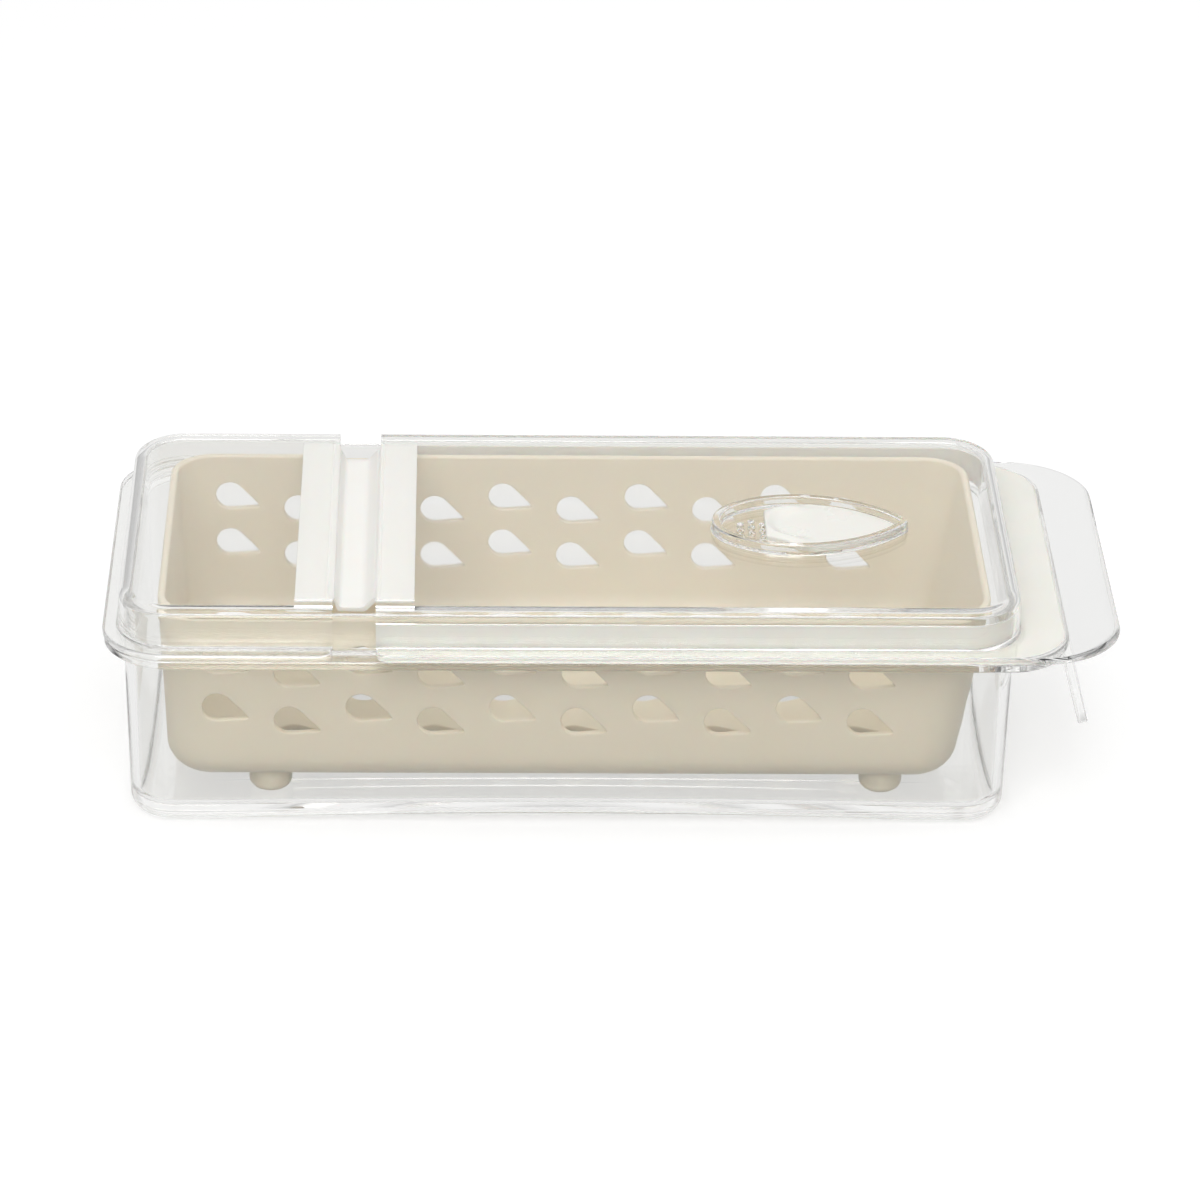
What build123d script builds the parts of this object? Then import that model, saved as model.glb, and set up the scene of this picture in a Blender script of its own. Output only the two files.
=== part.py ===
# Herb keeper: a clear bin with a lifting colander basket and a lid in two clear panels.
# A soft strip joins the panels and folds as a hinge, and a vent slide sits in the long one.
# Millimetres, +Z up. The origin is at the middle of the whole outline, on the surface
# that the bin stands on. The short panel is at the -X end and the thumb tab at the +X end.
from build123d import *
import math
import os

os.makedirs("parts", exist_ok=True)

# Bin
base_length = 254.0
base_width = 115.6
base_corner = 14.0
base_draft = 1.2
room_draft = 1.0
arch_rise = 2.0
arch_length = 206.0
floor_thickness = 2.5
base_bottom_round = 6.0
base_inner_round = 4.0
rim_top = 56.3
rim_thickness = 2.6
rim_setback = 0.4
rim_reach = 15.3
rim_corner = 18.0
collar_step = 0.9
collar_wall = 1.7
collar_height = 11.0
collar_draft = 0.6

# Pull plate under the right edge of the bin's rim
plate_width = 98.0
plate_drop = 28.1
plate_thickness = 2.8
plate_lean = 15.0
plate_sink = 1.6
plate_corner = 3.0

# Colander basket
basket_gap_left = 7.0
basket_gap_right = 4.0
basket_gap_side = 2.3
basket_height = 53.2
basket_wall = 2.2
basket_corner = 13.0
basket_bottom_round = 9.0
basket_side_draft = 1.2
basket_left_draft = 2.4
basket_right_draft = 10.0
foot_diameter = 12.4
foot_height = 6.6
foot_round = 2.6
foot_inset_side = 13.2
foot_inset_left = 31.6
foot_inset_right = 29.7
seat_gap = 0.1

# Droplet holes through the basket
drop_radius = 4.3
drop_reach = 10.0
drop_tilt = 21.0
drop_pitch = 20.45
drop_columns = 10
drop_rows = 2
drop_first = 21.3
drop_row_pitch = 15.2
drop_row_height = 24.9
drop_stagger = 4.2
floor_drop_rows = 3
floor_drop_pitch = 24.0

# Lid, both panels
lid_clearance = 0.6
lid_wall = 1.8
lid_plate = 2.0
lid_headroom = 0.9
lid_draft = 2.0
lid_top_round = 4.5
lid_inner_round = 0.8
flange_thickness = 2.0
flange_end = 5.8
flange_side = 7.0
flange_corner = 20.0
tab_reach = 30.2
tab_corner = 23.0
slot_width = 12.2
slot_from_left = 59.8
slot_corner = 4.0

# Soft hinge strip between the panels
strip_flank = 10.8
strip_thickness = 1.4
strip_rebate = 0.7
strip_length = 103.0
strip_clearance = 0.05
trough_depth = 3.1
trough_length = 97.4
trough_wall = 1.3
trough_slope = 2.2

# Gasket under the long panel's flange
gasket_depth = 0.9
gasket_edge = 1.2
gasket_leg = 0.8
gasket_leg_height = 9.0
gasket_clearance = 0.15
gasket_bond = 0.02

# Vent ring and its holes
vent_half_width = 14.8
vent_tail = 22.0
vent_tail_round = 11.0
vent_nose = 30.3
vent_from_right = 61.0
vent_offset = 6.0
vent_height = 3.0
vent_wall = 2.4
vent_hole_diameter = 2.2
vent_hole_pitch = 3.7
vent_hole_setback = 9.2
vent_hole_columns = 3
vent_hole_rows = 3
guide_slot_width = 4.2

# Vent slide
slide_travel = 9.0
slide_clearance = 0.3
slide_open_gap = 13.0
slide_lift = 0.15
slide_sink = 0.3
scoop_radius = 17.0
scoop_depth = 1.7
scoop_setback = 7.5
slide_neck_length = 6.0
slide_neck_play = 0.2
slide_foot_width = 8.0
slide_foot_length = 11.0
slide_foot_thickness = 1.0
slide_foot_gap = 0.25
slide_neck_setback = 18.0

# How near a face or an edge lies to the place that it is chosen by
nearness = 0.01

# Places along the bin
bin_x = -(tab_reach - flange_end) / 2
slot_left = bin_x - base_length / 2 + slot_from_left
slot_right = slot_left + slot_width
vent_x = bin_x + base_length / 2 - vent_from_right
vent_y = -vent_offset

# Heights
floor_top = arch_rise + floor_thickness
collar_top = rim_top + collar_height
flange_bottom = rim_top + seat_gap
flange_top = flange_bottom + flange_thickness
ceiling = collar_top + lid_headroom
dome_top = ceiling + lid_plate
basket_bottom = floor_top + seat_gap + foot_height
basket_top = basket_bottom + basket_height
strip_top = ceiling + strip_rebate


def spread(height, angle):
    """Width that a wall gains over a height at a draft angle."""
    return height * math.tan(math.radians(angle))


def level_faces(piece, height):
    """Flat faces of a piece at a height."""
    return piece.faces().filter_by(Axis.Z).filter_by_position(Axis.Z, height - nearness, height + nearness)


def corner_edges(piece, place, side):
    """Upright edges of a piece at a place along the lid and a distance each side of its middle."""
    upright = piece.edges().filter_by(Axis.Z)
    upright = upright.filter_by_position(Axis.X, place - nearness, place + nearness)
    return upright.filter_by(lambda edge: abs(abs(edge.center().Y) - side) < nearness)


def plan(height, left, right, half_width, left_radius, right_radius):
    """Flat outline with rounded corners, at a height, from left to right."""
    with BuildSketch(Plane.XY.offset(height)) as outline:
        with Locations(((left + right) / 2, 0)):
            Rectangle(right - left, 2 * half_width)
        fillet(outline.vertices().group_by(Axis.X)[0], radius=left_radius)
        fillet(outline.vertices().group_by(Axis.X)[-1], radius=right_radius)
    return outline.sketch


def ring_plan(height, half_length, half_width, corner):
    """Flat outline centred on the bin, at a height."""
    return plan(height, bin_x - half_length, bin_x + half_length, half_width, corner, corner)


def droplet(radius, reach):
    """Round hole drawn out to a point along +X, by two tangent lines."""
    half_angle = math.degrees(math.acos(radius / reach))
    touch_x = radius * math.cos(math.radians(half_angle))
    touch_y = radius * math.sin(math.radians(half_angle))
    with BuildSketch() as shape:
        Circle(radius)
        with BuildLine():
            Polyline((0, 0), (touch_x, -touch_y), (reach, 0), (touch_x, touch_y), close=True)
        make_face()
    return shape.sketch


def ogive(height, grown, moved=0.0):
    """Vent outline let out by an amount: a round tail, two bowed flanks and two sides to a tip."""
    bow = (vent_nose * vent_nose + vent_half_width * vent_half_width) / (2 * vent_half_width)
    half_turn = math.asin(vent_nose / bow) / 2
    side = (bow * math.sin(half_turn), vent_half_width - bow * (1 - math.cos(half_turn)))
    reach = vent_tail - vent_tail_round
    flank = (reach**2 + vent_half_width**2 - vent_tail_round**2) / (2 * (vent_half_width - vent_tail_round))
    share = 1 / (flank - vent_tail_round)
    joint = (-reach * flank * share, vent_tail_round * (flank - vent_half_width) * share)
    with BuildSketch(Plane.XY.offset(height)) as shape:
        with BuildLine():
            ThreePointArc((vent_nose, 0), side, (0, vent_half_width))
            TangentArc((0, vent_half_width), joint, tangent=(-1, 0))
            ThreePointArc(joint, (-vent_tail, 0), (joint[0], -joint[1]))
            TangentArc((0, -vent_half_width), (joint[0], -joint[1]), tangent=(-1, 0))
            ThreePointArc((0, -vent_half_width), (side[0], -side[1]), (vent_nose, 0))
        make_face()
        if grown:
            offset(amount=grown)
    return shape.sketch.moved(Location((vent_x + moved, vent_y)))


# Bin sizes that other pieces share
wall_x = base_length / 2
wall_y = base_width / 2
collar_x = wall_x - collar_step
collar_y = wall_y - collar_step
collar_corner = base_corner - collar_step
collar_in_x = collar_x - collar_wall
collar_in_y = collar_y - collar_wall
collar_in_corner = collar_corner - collar_wall
rim_left = bin_x - wall_x - flange_end + rim_setback
rim_right = bin_x + wall_x + rim_reach
rim_side = wall_y + flange_side - rim_setback

# The bin: a drafted box with an arched underside, a rim, a collar above it and a pull plate
with BuildPart() as base_bin:
    extrude(ring_plan(rim_top, wall_x, wall_y, base_corner), amount=-rim_top, taper=base_draft)
    with BuildSketch(Plane.XZ):
        with BuildLine():
            arch_ends = ((bin_x - arch_length / 2, 0), (bin_x + arch_length / 2, 0))
            ThreePointArc(arch_ends[0], (bin_x, arch_rise), arch_ends[1])
            Line(arch_ends[1], arch_ends[0])
        make_face()
    extrude(amount=base_width, both=True, mode=Mode.SUBTRACT)
    low_edges = base_bin.edges().filter_by_position(Axis.Z, -nearness, arch_rise)
    creases = low_edges.filter_by(Axis.Y).filter_by_position(Axis.X, arch_ends[0][0] - nearness, arch_ends[1][0] + nearness)
    fillet([edge for edge in low_edges if edge not in creases], radius=base_bottom_round)
    rim_base = rim_top - rim_thickness
    extrude(plan(rim_base, rim_left, rim_right, rim_side, flange_corner, rim_corner), amount=rim_thickness)
    extrude(ring_plan(rim_top, collar_x, collar_y, collar_corner), amount=collar_height, taper=collar_draft)
    mouth_x = collar_in_x - spread(collar_height, collar_draft)
    mouth_y = collar_in_y - spread(collar_height, collar_draft)
    mouth = ring_plan(collar_top, mouth_x, mouth_y, collar_in_corner)
    extrude(mouth, amount=-(collar_top - floor_top), taper=room_draft, mode=Mode.SUBTRACT)
    inner_floor = level_faces(base_bin, floor_top)
    fillet(inner_floor.edges(), radius=base_inner_round)
    lean = math.radians(plate_lean)
    plate_plane = Plane(
        origin=(rim_right - plate_thickness / math.cos(lean), 0, rim_top - plate_sink),
        x_dir=(0, 1, 0),
        z_dir=(math.cos(lean), 0, math.sin(lean)),
    )
    plate_height = (plate_drop - plate_sink) / math.cos(lean)
    with BuildSketch(plate_plane) as plate_face:
        with Locations((0, -plate_height / 2)):
            Rectangle(plate_width, plate_height)
        fillet(plate_face.vertices().group_by(Axis.Z)[0], radius=plate_corner)
    extrude(amount=plate_thickness)
base_bin.part.label = "base_bin"
export_step(base_bin.part, "parts/base_bin.step")

# Basket outline at its top edge and at its underside
basket_left = bin_x - mouth_x + basket_gap_left
basket_right = bin_x + mouth_x - basket_gap_right
basket_side = mouth_y - basket_gap_side


def basket_plan(height, inset, corner):
    """Outline of the basket at a height, drawn in by a wall's thickness."""
    drop = basket_top - height
    left = basket_left + spread(drop, basket_left_draft) + inset
    right = basket_right - spread(drop, basket_right_draft) - inset
    side = basket_side - spread(drop, basket_side_draft) - inset
    return plan(height, left, right, side, corner, corner)


# The room inside the basket, which is taken out of it
with BuildPart() as basket_room:
    basket_floor = basket_bottom + basket_wall
    room_corner = basket_corner - basket_wall
    room_plans = [basket_plan(height, basket_wall, room_corner) for height in (basket_floor, basket_top)]
    loft(room_plans, ruled=True)
    fillet(basket_room.faces().sort_by(Axis.Z)[0].edges(), radius=basket_bottom_round - basket_wall)

# The basket: uneven drafted walls, four round feet and rows of droplet holes
with BuildPart() as colander_basket:
    loft([basket_plan(height, 0, basket_corner) for height in (basket_bottom, basket_top)], ruled=True)
    fillet(colander_basket.faces().sort_by(Axis.Z)[0].edges(), radius=basket_bottom_round)
    add(basket_room.part, mode=Mode.SUBTRACT)
    foot_left = basket_left + foot_inset_left
    foot_right = basket_right - foot_inset_right
    foot_side = basket_side - foot_inset_side
    with BuildSketch(Plane.XY.offset(basket_bottom - foot_height)):
        with Locations([(x, y) for x in (foot_left, foot_right) for y in (-foot_side, foot_side)]):
            Circle(foot_diameter / 2)
    extrude(amount=foot_height + basket_wall / 2)
    fillet(colander_basket.edges().group_by(Axis.Z)[0], radius=foot_round)
    with BuildSketch(Plane.XZ):
        for column in range(drop_columns):
            for row in range(drop_rows):
                drop_x = basket_left + drop_first + column * drop_pitch - drop_radius
                drop_z = basket_bottom + drop_row_height + row * drop_row_pitch - (column % 2) * drop_stagger
                with Locations(Location((drop_x, drop_z), -drop_tilt)):
                    add(droplet(drop_radius, drop_reach))
    extrude(amount=base_width, both=True, mode=Mode.SUBTRACT)
    with BuildSketch(Plane.XY.offset(basket_bottom)):
        for column in range(1, drop_columns):
            for row in range(floor_drop_rows):
                drop_x = basket_left + drop_first + column * drop_pitch - drop_radius
                drop_y = (row - (floor_drop_rows - 1) / 2) * floor_drop_pitch
                with Locations(Location((drop_x, drop_y), 0)):
                    add(droplet(drop_radius, drop_reach))
    extrude(amount=basket_wall, mode=Mode.SUBTRACT)
colander_basket.part.label = "colander_basket"
export_step(colander_basket.part, "parts/colander_basket.step")

# Lid sizes that both panels share
dome_in_x = collar_x + lid_clearance
dome_in_y = collar_y + lid_clearance
dome_in_corner = collar_corner + lid_clearance
dome_x = dome_in_x + lid_wall
dome_y = dome_in_y + lid_wall
dome_corner = dome_in_corner + lid_wall
lid_left = bin_x - wall_x - flange_end
lid_right = bin_x + wall_x + tab_reach
lid_side = wall_y + flange_side


def lid_shell(lid):
    """Adds the whole lid, its dome and its flange, to the panel being built."""
    extrude(plan(flange_bottom, lid_left, lid_right, lid_side, flange_corner, tab_corner), amount=flange_thickness)
    extrude(ring_plan(flange_bottom, dome_x, dome_y, dome_corner), amount=dome_top - flange_bottom, taper=lid_draft)
    fillet(lid.faces().sort_by(Axis.Z)[-1].edges(), radius=lid_top_round)
    hollow = ring_plan(flange_bottom, dome_in_x, dome_in_y, dome_in_corner)
    extrude(hollow, amount=ceiling - flange_bottom, taper=lid_draft, mode=Mode.SUBTRACT)
    fillet(level_faces(lid, ceiling).edges(), radius=lid_inner_round)


def cut_past(left, right):
    """Takes away everything between two places along the lid."""
    with BuildSketch(Plane.XY) as area:
        with Locations(((left + right) / 2, 0)):
            Rectangle(right - left, 4 * lid_side)
    extrude(area.sketch, amount=2 * dome_top, mode=Mode.SUBTRACT)


def rebate(left, right):
    """Shallow step under the plate, that the hinge strip's flank lies in."""
    with BuildSketch(Plane.XY.offset(ceiling)) as area:
        with Locations(((left + right) / 2, 0)):
            Rectangle(right - left, strip_length + 2 * strip_clearance)
    extrude(area.sketch, amount=strip_rebate + strip_clearance, mode=Mode.SUBTRACT)


def round_slot_corners(lid, place):
    """Rounds the flange's two outer corners beside the slot."""
    fillet(corner_edges(lid, place, lid_side), radius=slot_corner)


# Short panel at the left, which stays on the bin while the long one is opened
with BuildPart() as short_lid:
    lid_shell(short_lid)
    cut_past(slot_left, lid_right + slot_width)
    round_slot_corners(short_lid, slot_left)
    rebate(slot_left - strip_flank - strip_clearance, slot_left)
short_lid.part.label = "short_lid"
export_step(short_lid.part, "parts/short_lid.step")

# Vent sizes that the ring and its slide share
vent_top = dome_top + vent_height
slide_left = vent_x - vent_tail + slide_open_gap
neck_x = slide_left + slide_neck_setback

# Gasket outline: the rim's outline drawn in at the edge, and the collar's let out
gasket_right = rim_right - gasket_edge
gasket_side = rim_side - gasket_edge
gasket_in_x = collar_x + gasket_clearance
gasket_in_y = collar_y + gasket_clearance
gasket_in_corner = collar_corner + gasket_clearance


def gasket_body(bond):
    """Plan and upright leg of the gasket, let out by a bond gap, as one solid."""
    outer_edge = gasket_side + bond
    with BuildPart() as body:
        flat = plan(
            flange_bottom, rim_left, gasket_right + bond, outer_edge, flange_corner, rim_corner - gasket_edge + bond
        )
        extrude(flat, amount=gasket_depth + bond)
        leg = ring_plan(
            flange_bottom, gasket_in_x + gasket_leg + bond, gasket_in_y + gasket_leg + bond,
            gasket_in_corner + gasket_leg + bond,
        )
        extrude(leg, amount=gasket_leg_height + bond)
        bore = ring_plan(flange_bottom, gasket_in_x, gasket_in_y, gasket_in_corner)
        extrude(bore, amount=2 * gasket_leg_height, mode=Mode.SUBTRACT)
        with BuildSketch(Plane.XY.offset(flange_bottom)):
            with Locations((slot_right - base_length / 2, 0)):
                Rectangle(base_length, 2 * base_width)
        extrude(amount=2 * gasket_leg_height, mode=Mode.SUBTRACT)
        fillet(corner_edges(body, slot_right, outer_edge), radius=slot_corner)
    return body.part


# Long panel with the thumb tab, the vent ring, the vent holes and the slide's guide slot
with BuildPart() as flip_lid:
    lid_shell(flip_lid)
    cut_past(lid_left - slot_width, slot_right)
    round_slot_corners(flip_lid, slot_right)
    rebate(slot_right, slot_right + strip_flank + strip_clearance)
    add(gasket_body(gasket_bond), mode=Mode.SUBTRACT)
    extrude(ogive(dome_top, vent_wall), amount=vent_height)
    extrude(ogive(dome_top, 0), amount=vent_height, mode=Mode.SUBTRACT)
    with BuildSketch(Plane.XY.offset(ceiling)):
        with Locations((vent_x - vent_tail + vent_hole_setback, vent_y)):
            with HexLocations(vent_hole_pitch / math.sqrt(3), vent_hole_columns, vent_hole_rows):
                Circle(vent_hole_diameter / 2)
        with Locations((neck_x - slide_travel / 2, vent_y)):
            SlotOverall(slide_neck_length + slide_travel + 2 * slide_neck_play, guide_slot_width)
    extrude(amount=lid_plate, mode=Mode.SUBTRACT)
flip_lid.part.label = "flip_lid"
export_step(flip_lid.part, "parts/flip_lid.step")

# Gasket bonded under the long panel's flange, open towards the hinge
lid_gasket = gasket_body(0)
lid_gasket.label = "lid_gasket"
export_step(lid_gasket, "parts/lid_gasket.step")

# Soft strip: a flank under each panel's edge and a trough that hangs in the slot between
with BuildPart() as hinge_strip:
    flank_left = slot_left - strip_flank
    flank_right = slot_right + strip_flank
    flank_low = strip_top - strip_thickness
    trough_left = slot_left + trough_wall
    trough_right = slot_right - trough_wall
    with BuildSketch(Plane.XZ):
        for left, right in ((flank_left, trough_left), (trough_right, flank_right)):
            with Locations(((left + right) / 2, (strip_top + flank_low) / 2)):
                Rectangle(right - left, strip_thickness)
    extrude(amount=strip_length / 2, both=True)
    trough_floor = strip_top - trough_depth
    with BuildSketch(Plane.XZ):
        with BuildLine():
            Polyline(
                (slot_left, strip_top),
                (trough_left, strip_top),
                (trough_left + trough_slope, trough_floor),
                (trough_right - trough_slope, trough_floor),
                (trough_right, strip_top),
                (slot_right, strip_top),
                (slot_right, flank_low),
                (trough_right - trough_slope + trough_wall, trough_floor - trough_wall),
                (trough_left + trough_slope - trough_wall, trough_floor - trough_wall),
                (slot_left, flank_low),
                close=True,
            )
        make_face()
    extrude(amount=trough_length / 2, both=True)
hinge_strip.part.label = "hinge_strip"
export_step(hinge_strip.part, "parts/hinge_strip.step")

slide_floor = dome_top + slide_lift
slide_top = vent_top - slide_sink

# Vent slide: it fits the ring where it stands and after its travel, has a thumb scoop,
# and a footed neck runs through the guide slot to hold it down
with BuildPart() as vent_slide:
    extrude(ogive(slide_floor, -slide_clearance), amount=slide_top - slide_floor)
    travelled = ogive(slide_floor, -slide_clearance, slide_travel)
    extrude(travelled, amount=slide_top - slide_floor, mode=Mode.INTERSECT)
    with BuildSketch(Plane.XY.offset(slide_floor)):
        with Locations((slide_left - vent_tail / 2, vent_y)):
            Rectangle(vent_tail, 4 * vent_half_width)
    extrude(amount=slide_top - slide_floor, mode=Mode.SUBTRACT)
    with Locations((slide_left + scoop_setback, vent_y, slide_top + scoop_radius - scoop_depth)):
        Sphere(scoop_radius, mode=Mode.SUBTRACT)
    foot_top = ceiling - slide_foot_gap
    with BuildSketch(Plane.XY.offset(foot_top)):
        with Locations((neck_x, vent_y)):
            SlotOverall(slide_neck_length, guide_slot_width - 2 * slide_neck_play)
    extrude(amount=slide_floor - foot_top)
    with BuildSketch(Plane.XY.offset(foot_top - slide_foot_thickness)):
        with Locations((neck_x, vent_y)):
            RectangleRounded(slide_foot_length, slide_foot_width, slide_foot_thickness)
    extrude(amount=slide_foot_thickness)
vent_slide.part.label = "vent_slide"
export_step(vent_slide.part, "parts/vent_slide.step")
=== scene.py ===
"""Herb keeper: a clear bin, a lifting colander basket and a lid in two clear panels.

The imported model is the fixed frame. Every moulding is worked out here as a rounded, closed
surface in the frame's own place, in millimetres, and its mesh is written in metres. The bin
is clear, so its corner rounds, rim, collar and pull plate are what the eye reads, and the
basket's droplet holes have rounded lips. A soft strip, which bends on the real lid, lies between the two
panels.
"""

import logging
import math
from collections.abc import Callable
from dataclasses import dataclass
from enum import Enum

import bmesh
import bpy
import numpy as np
from mathutils import Matrix, Vector


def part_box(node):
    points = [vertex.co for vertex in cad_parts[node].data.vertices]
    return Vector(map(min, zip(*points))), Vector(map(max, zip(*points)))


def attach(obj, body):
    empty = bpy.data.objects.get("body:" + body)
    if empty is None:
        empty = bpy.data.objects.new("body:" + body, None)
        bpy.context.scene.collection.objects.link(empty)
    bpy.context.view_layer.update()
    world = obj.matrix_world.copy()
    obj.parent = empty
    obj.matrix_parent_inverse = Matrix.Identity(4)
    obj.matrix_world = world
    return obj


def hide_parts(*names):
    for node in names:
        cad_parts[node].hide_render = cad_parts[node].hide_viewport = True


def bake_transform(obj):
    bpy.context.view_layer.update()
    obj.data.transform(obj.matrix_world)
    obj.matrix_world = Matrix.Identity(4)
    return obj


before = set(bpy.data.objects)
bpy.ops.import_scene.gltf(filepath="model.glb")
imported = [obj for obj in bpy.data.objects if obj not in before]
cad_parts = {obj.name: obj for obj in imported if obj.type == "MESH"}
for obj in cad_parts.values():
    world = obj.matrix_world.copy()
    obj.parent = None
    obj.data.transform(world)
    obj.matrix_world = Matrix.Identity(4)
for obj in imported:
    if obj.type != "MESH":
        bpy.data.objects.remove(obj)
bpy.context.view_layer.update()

LOG = logging.getLogger("herb_keeper")
MM = 0.001
Array = np.ndarray
Face = Callable[[Array], Array]

# How near two points lie that are one point of the finished mesh, in millimetres
WELD = 0.002
# Turn past which an edge is drawn as a sharp one, in degrees
SHARP_TURN = 38.0
# Turn past which an edge is eased, in degrees, and the spans of its round
EASED_TURN = 50.0
EASED_SPANS = 2


class Panel(Enum):
    """The two clear panels of the lid."""

    SHORT = "short"
    LONG = "long"


class Combine(Enum):
    """How a tool solid changes a moulding."""

    JOIN = "UNION"
    CUT = "DIFFERENCE"


# The frame's own measures


def node_box(node: str) -> tuple[Array, Array]:
    """Lowest and highest corners of a node of the frame.

    Args:
        node: name of the node.

    Returns:
        The two corners in millimetres.
    """
    low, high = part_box(node)
    return np.array(low) / MM, np.array(high) / MM


# Rounded shells: a ring is a rounded rectangle at a height, and a chain of rings is a wall


@dataclass(frozen=True)
class Ring:
    """Rounded rectangle that lies flat at a height, in millimetres."""

    left: float
    right: float
    half: float
    left_round: float
    right_round: float
    height: float

    def row(self) -> Array:
        """The ring as one row of six numbers."""
        return np.array([self.left, self.right, self.half, self.left_round, self.right_round, self.height])

    def inset(self, amount: float, height: float) -> "Ring":
        """The ring drawn in by an amount all round, at another height."""
        return Ring(
            self.left + amount,
            self.right - amount,
            self.half - amount,
            max(self.left_round - amount, 0.5),
            max(self.right_round - amount, 0.5),
            height,
        )


@dataclass(frozen=True)
class Lattice:
    """Where the lines of a shell cross its long sides and its ends, and how fine a corner is."""

    long_lines: Array
    end_lines: Array
    corner_steps: int = 14

    @property
    def columns(self) -> int:
        """Number of columns all round."""
        return 2 * (len(self.long_lines) + len(self.end_lines) + 2 * self.corner_steps)

    def panel_columns(self, panel: Panel) -> Array:
        """Columns of the U that a lid panel takes out of the whole ring.

        Args:
            panel: the short panel keeps the left end and the long one the right end.

        Returns:
            Column numbers in order along the U, from one cut to the other.
        """
        reach = 2 * len(self.long_lines) + 2 * self.corner_steps + len(self.end_lines)
        if panel is Panel.LONG:
            return np.arange(reach)
        start = len(self.long_lines) + 2 * self.corner_steps + len(self.end_lines)
        return np.arange(start, start + reach) % self.columns


def soften(rings: list[Ring], radii: list[float], steps: int = 5, hold: float = 0.25) -> Array:
    """Rounds a chain of rings at its corners.

    Formula: each corner is cut back along both of its runs by the radius times the tangent of
    half the turn, and a conic joins the two cuts. Its middle weight is the cosine of half the
    turn, which makes it a true arc. A holding ring on each side keeps the flat beside it flat.

    Args:
        rings: the corners of the chain, its two ends among them.
        radii: one radius for each corner between the ends, nought for a sharp one.
        steps: spans in each round.
        hold: distance of the holding ring from the round.

    Returns:
        Rows of six numbers.
    """
    rows = np.array([ring.row() for ring in rings])
    chain = [rows[:1]]
    for before, corner, after, radius in zip(rows, rows[1:], rows[2:], radii):
        ahead, behind = after - corner, before - corner
        ahead_length, behind_length = np.hypot(*ahead[[2, 5]]), np.hypot(*behind[[2, 5]])
        if radius == 0 or min(ahead_length, behind_length) < 1e-6:
            chain.append(corner[None])
            continue
        ahead, behind = ahead / ahead_length, behind / behind_length
        cosine = -(ahead[2] * behind[2] + ahead[5] * behind[5])
        half_turn = math.acos(max(-1.0, min(1.0, cosine))) / 2
        cut = min(radius * math.tan(half_turn), 0.49 * ahead_length, 0.49 * behind_length)
        t = np.linspace(0, 1, steps + 1)[:, None]
        weight = math.cos(half_turn)
        blend = [(1 - t) ** 2, 2 * weight * t * (1 - t), t**2]
        points = [corner + cut * behind, corner, corner + cut * ahead]
        arc = sum(share * point for share, point in zip(blend, points)) / sum(blend)
        spare = min(hold, 0.3 * (min(ahead_length, behind_length) - cut))
        chain += [(corner + (cut + spare) * behind)[None], arc, (corner + (cut + spare) * ahead)[None]]
    chain.append(rows[-1:])
    return np.concatenate(chain)


def rounded_section(points: list[tuple[float, float]], radii: list[float], steps: int, hold: float) -> Array:
    """Rounds the corners of a flat section.

    Args:
        points: corners of the section, as (place, height).
        radii: one radius for each corner between the ends, nought for a sharp one.
        steps: spans in each round.
        hold: distance of the holding point from the round.

    Returns:
        Rows of (place, height).
    """
    rings = [Ring(0, 0, place, 0, 0, height) for place, height in points]
    return soften(rings, radii, steps, hold)[:, [2, 5]]


def long_side(rows: Array, x: Array) -> Array:
    """Half width of each ring at places along it.

    Formula: the half width, less what the corner arc falls away past the point where it starts.

    Args:
        rows: rings as rows, of shape (rings, 6).
        x: places along the rings, of shape (rings, places).

    Returns:
        Distance from the middle line, of the same shape as x.
    """
    left, right, half, left_round, right_round = (rows[:, i : i + 1] for i in range(5))
    past_left = np.clip(left + left_round - x, 0, left_round)
    past_right = np.clip(x - right + right_round, 0, right_round)
    fall_left = left_round - np.sqrt(left_round**2 - past_left**2)
    fall_right = right_round - np.sqrt(right_round**2 - past_right**2)
    return half - fall_left - fall_right


def corner_run(end: Array, half: Array, radius: Array, start: float, stop: float, steps: int) -> Array:
    """Points from the last line of a long side, round the corner, to the first line of an end.

    Formula: the run is a straight, an arc and a straight, and its points are spaced evenly along
    its length. A line that already lies within the corner shortens the arc.

    Args:
        end: distance of each ring's end from the middle.
        half: half width of each ring.
        radius: corner radius of each ring.
        start: distance of the long side's last line from the middle.
        stop: distance of the end's first line from the middle.
        steps: number of points, the two lines not among them.

    Returns:
        Array of shape (rings, steps, 2), all in the first quadrant.
    """
    end, half, radius = end[:, None], half[:, None], radius[:, None]
    centre_x, centre_y = end - radius, half - radius
    first = np.arccos(np.clip((start - centre_x) / radius, 0, 1))
    last = np.arcsin(np.clip((stop - centre_y) / radius, 0, 1))
    before, arc = np.maximum(centre_x - start, 0), radius * (first - last)
    total = before + arc + np.maximum(centre_y - stop, 0)
    along = total * np.arange(1, steps + 1) / (steps + 1)
    turned = first - np.clip(along - before, 0, arc) / radius
    x = np.where(along < before, start + along, centre_x + radius * np.cos(turned))
    y = centre_y + radius * np.sin(turned) - np.maximum(along - before - arc, 0)
    return np.stack([x, y], axis=-1)


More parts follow.
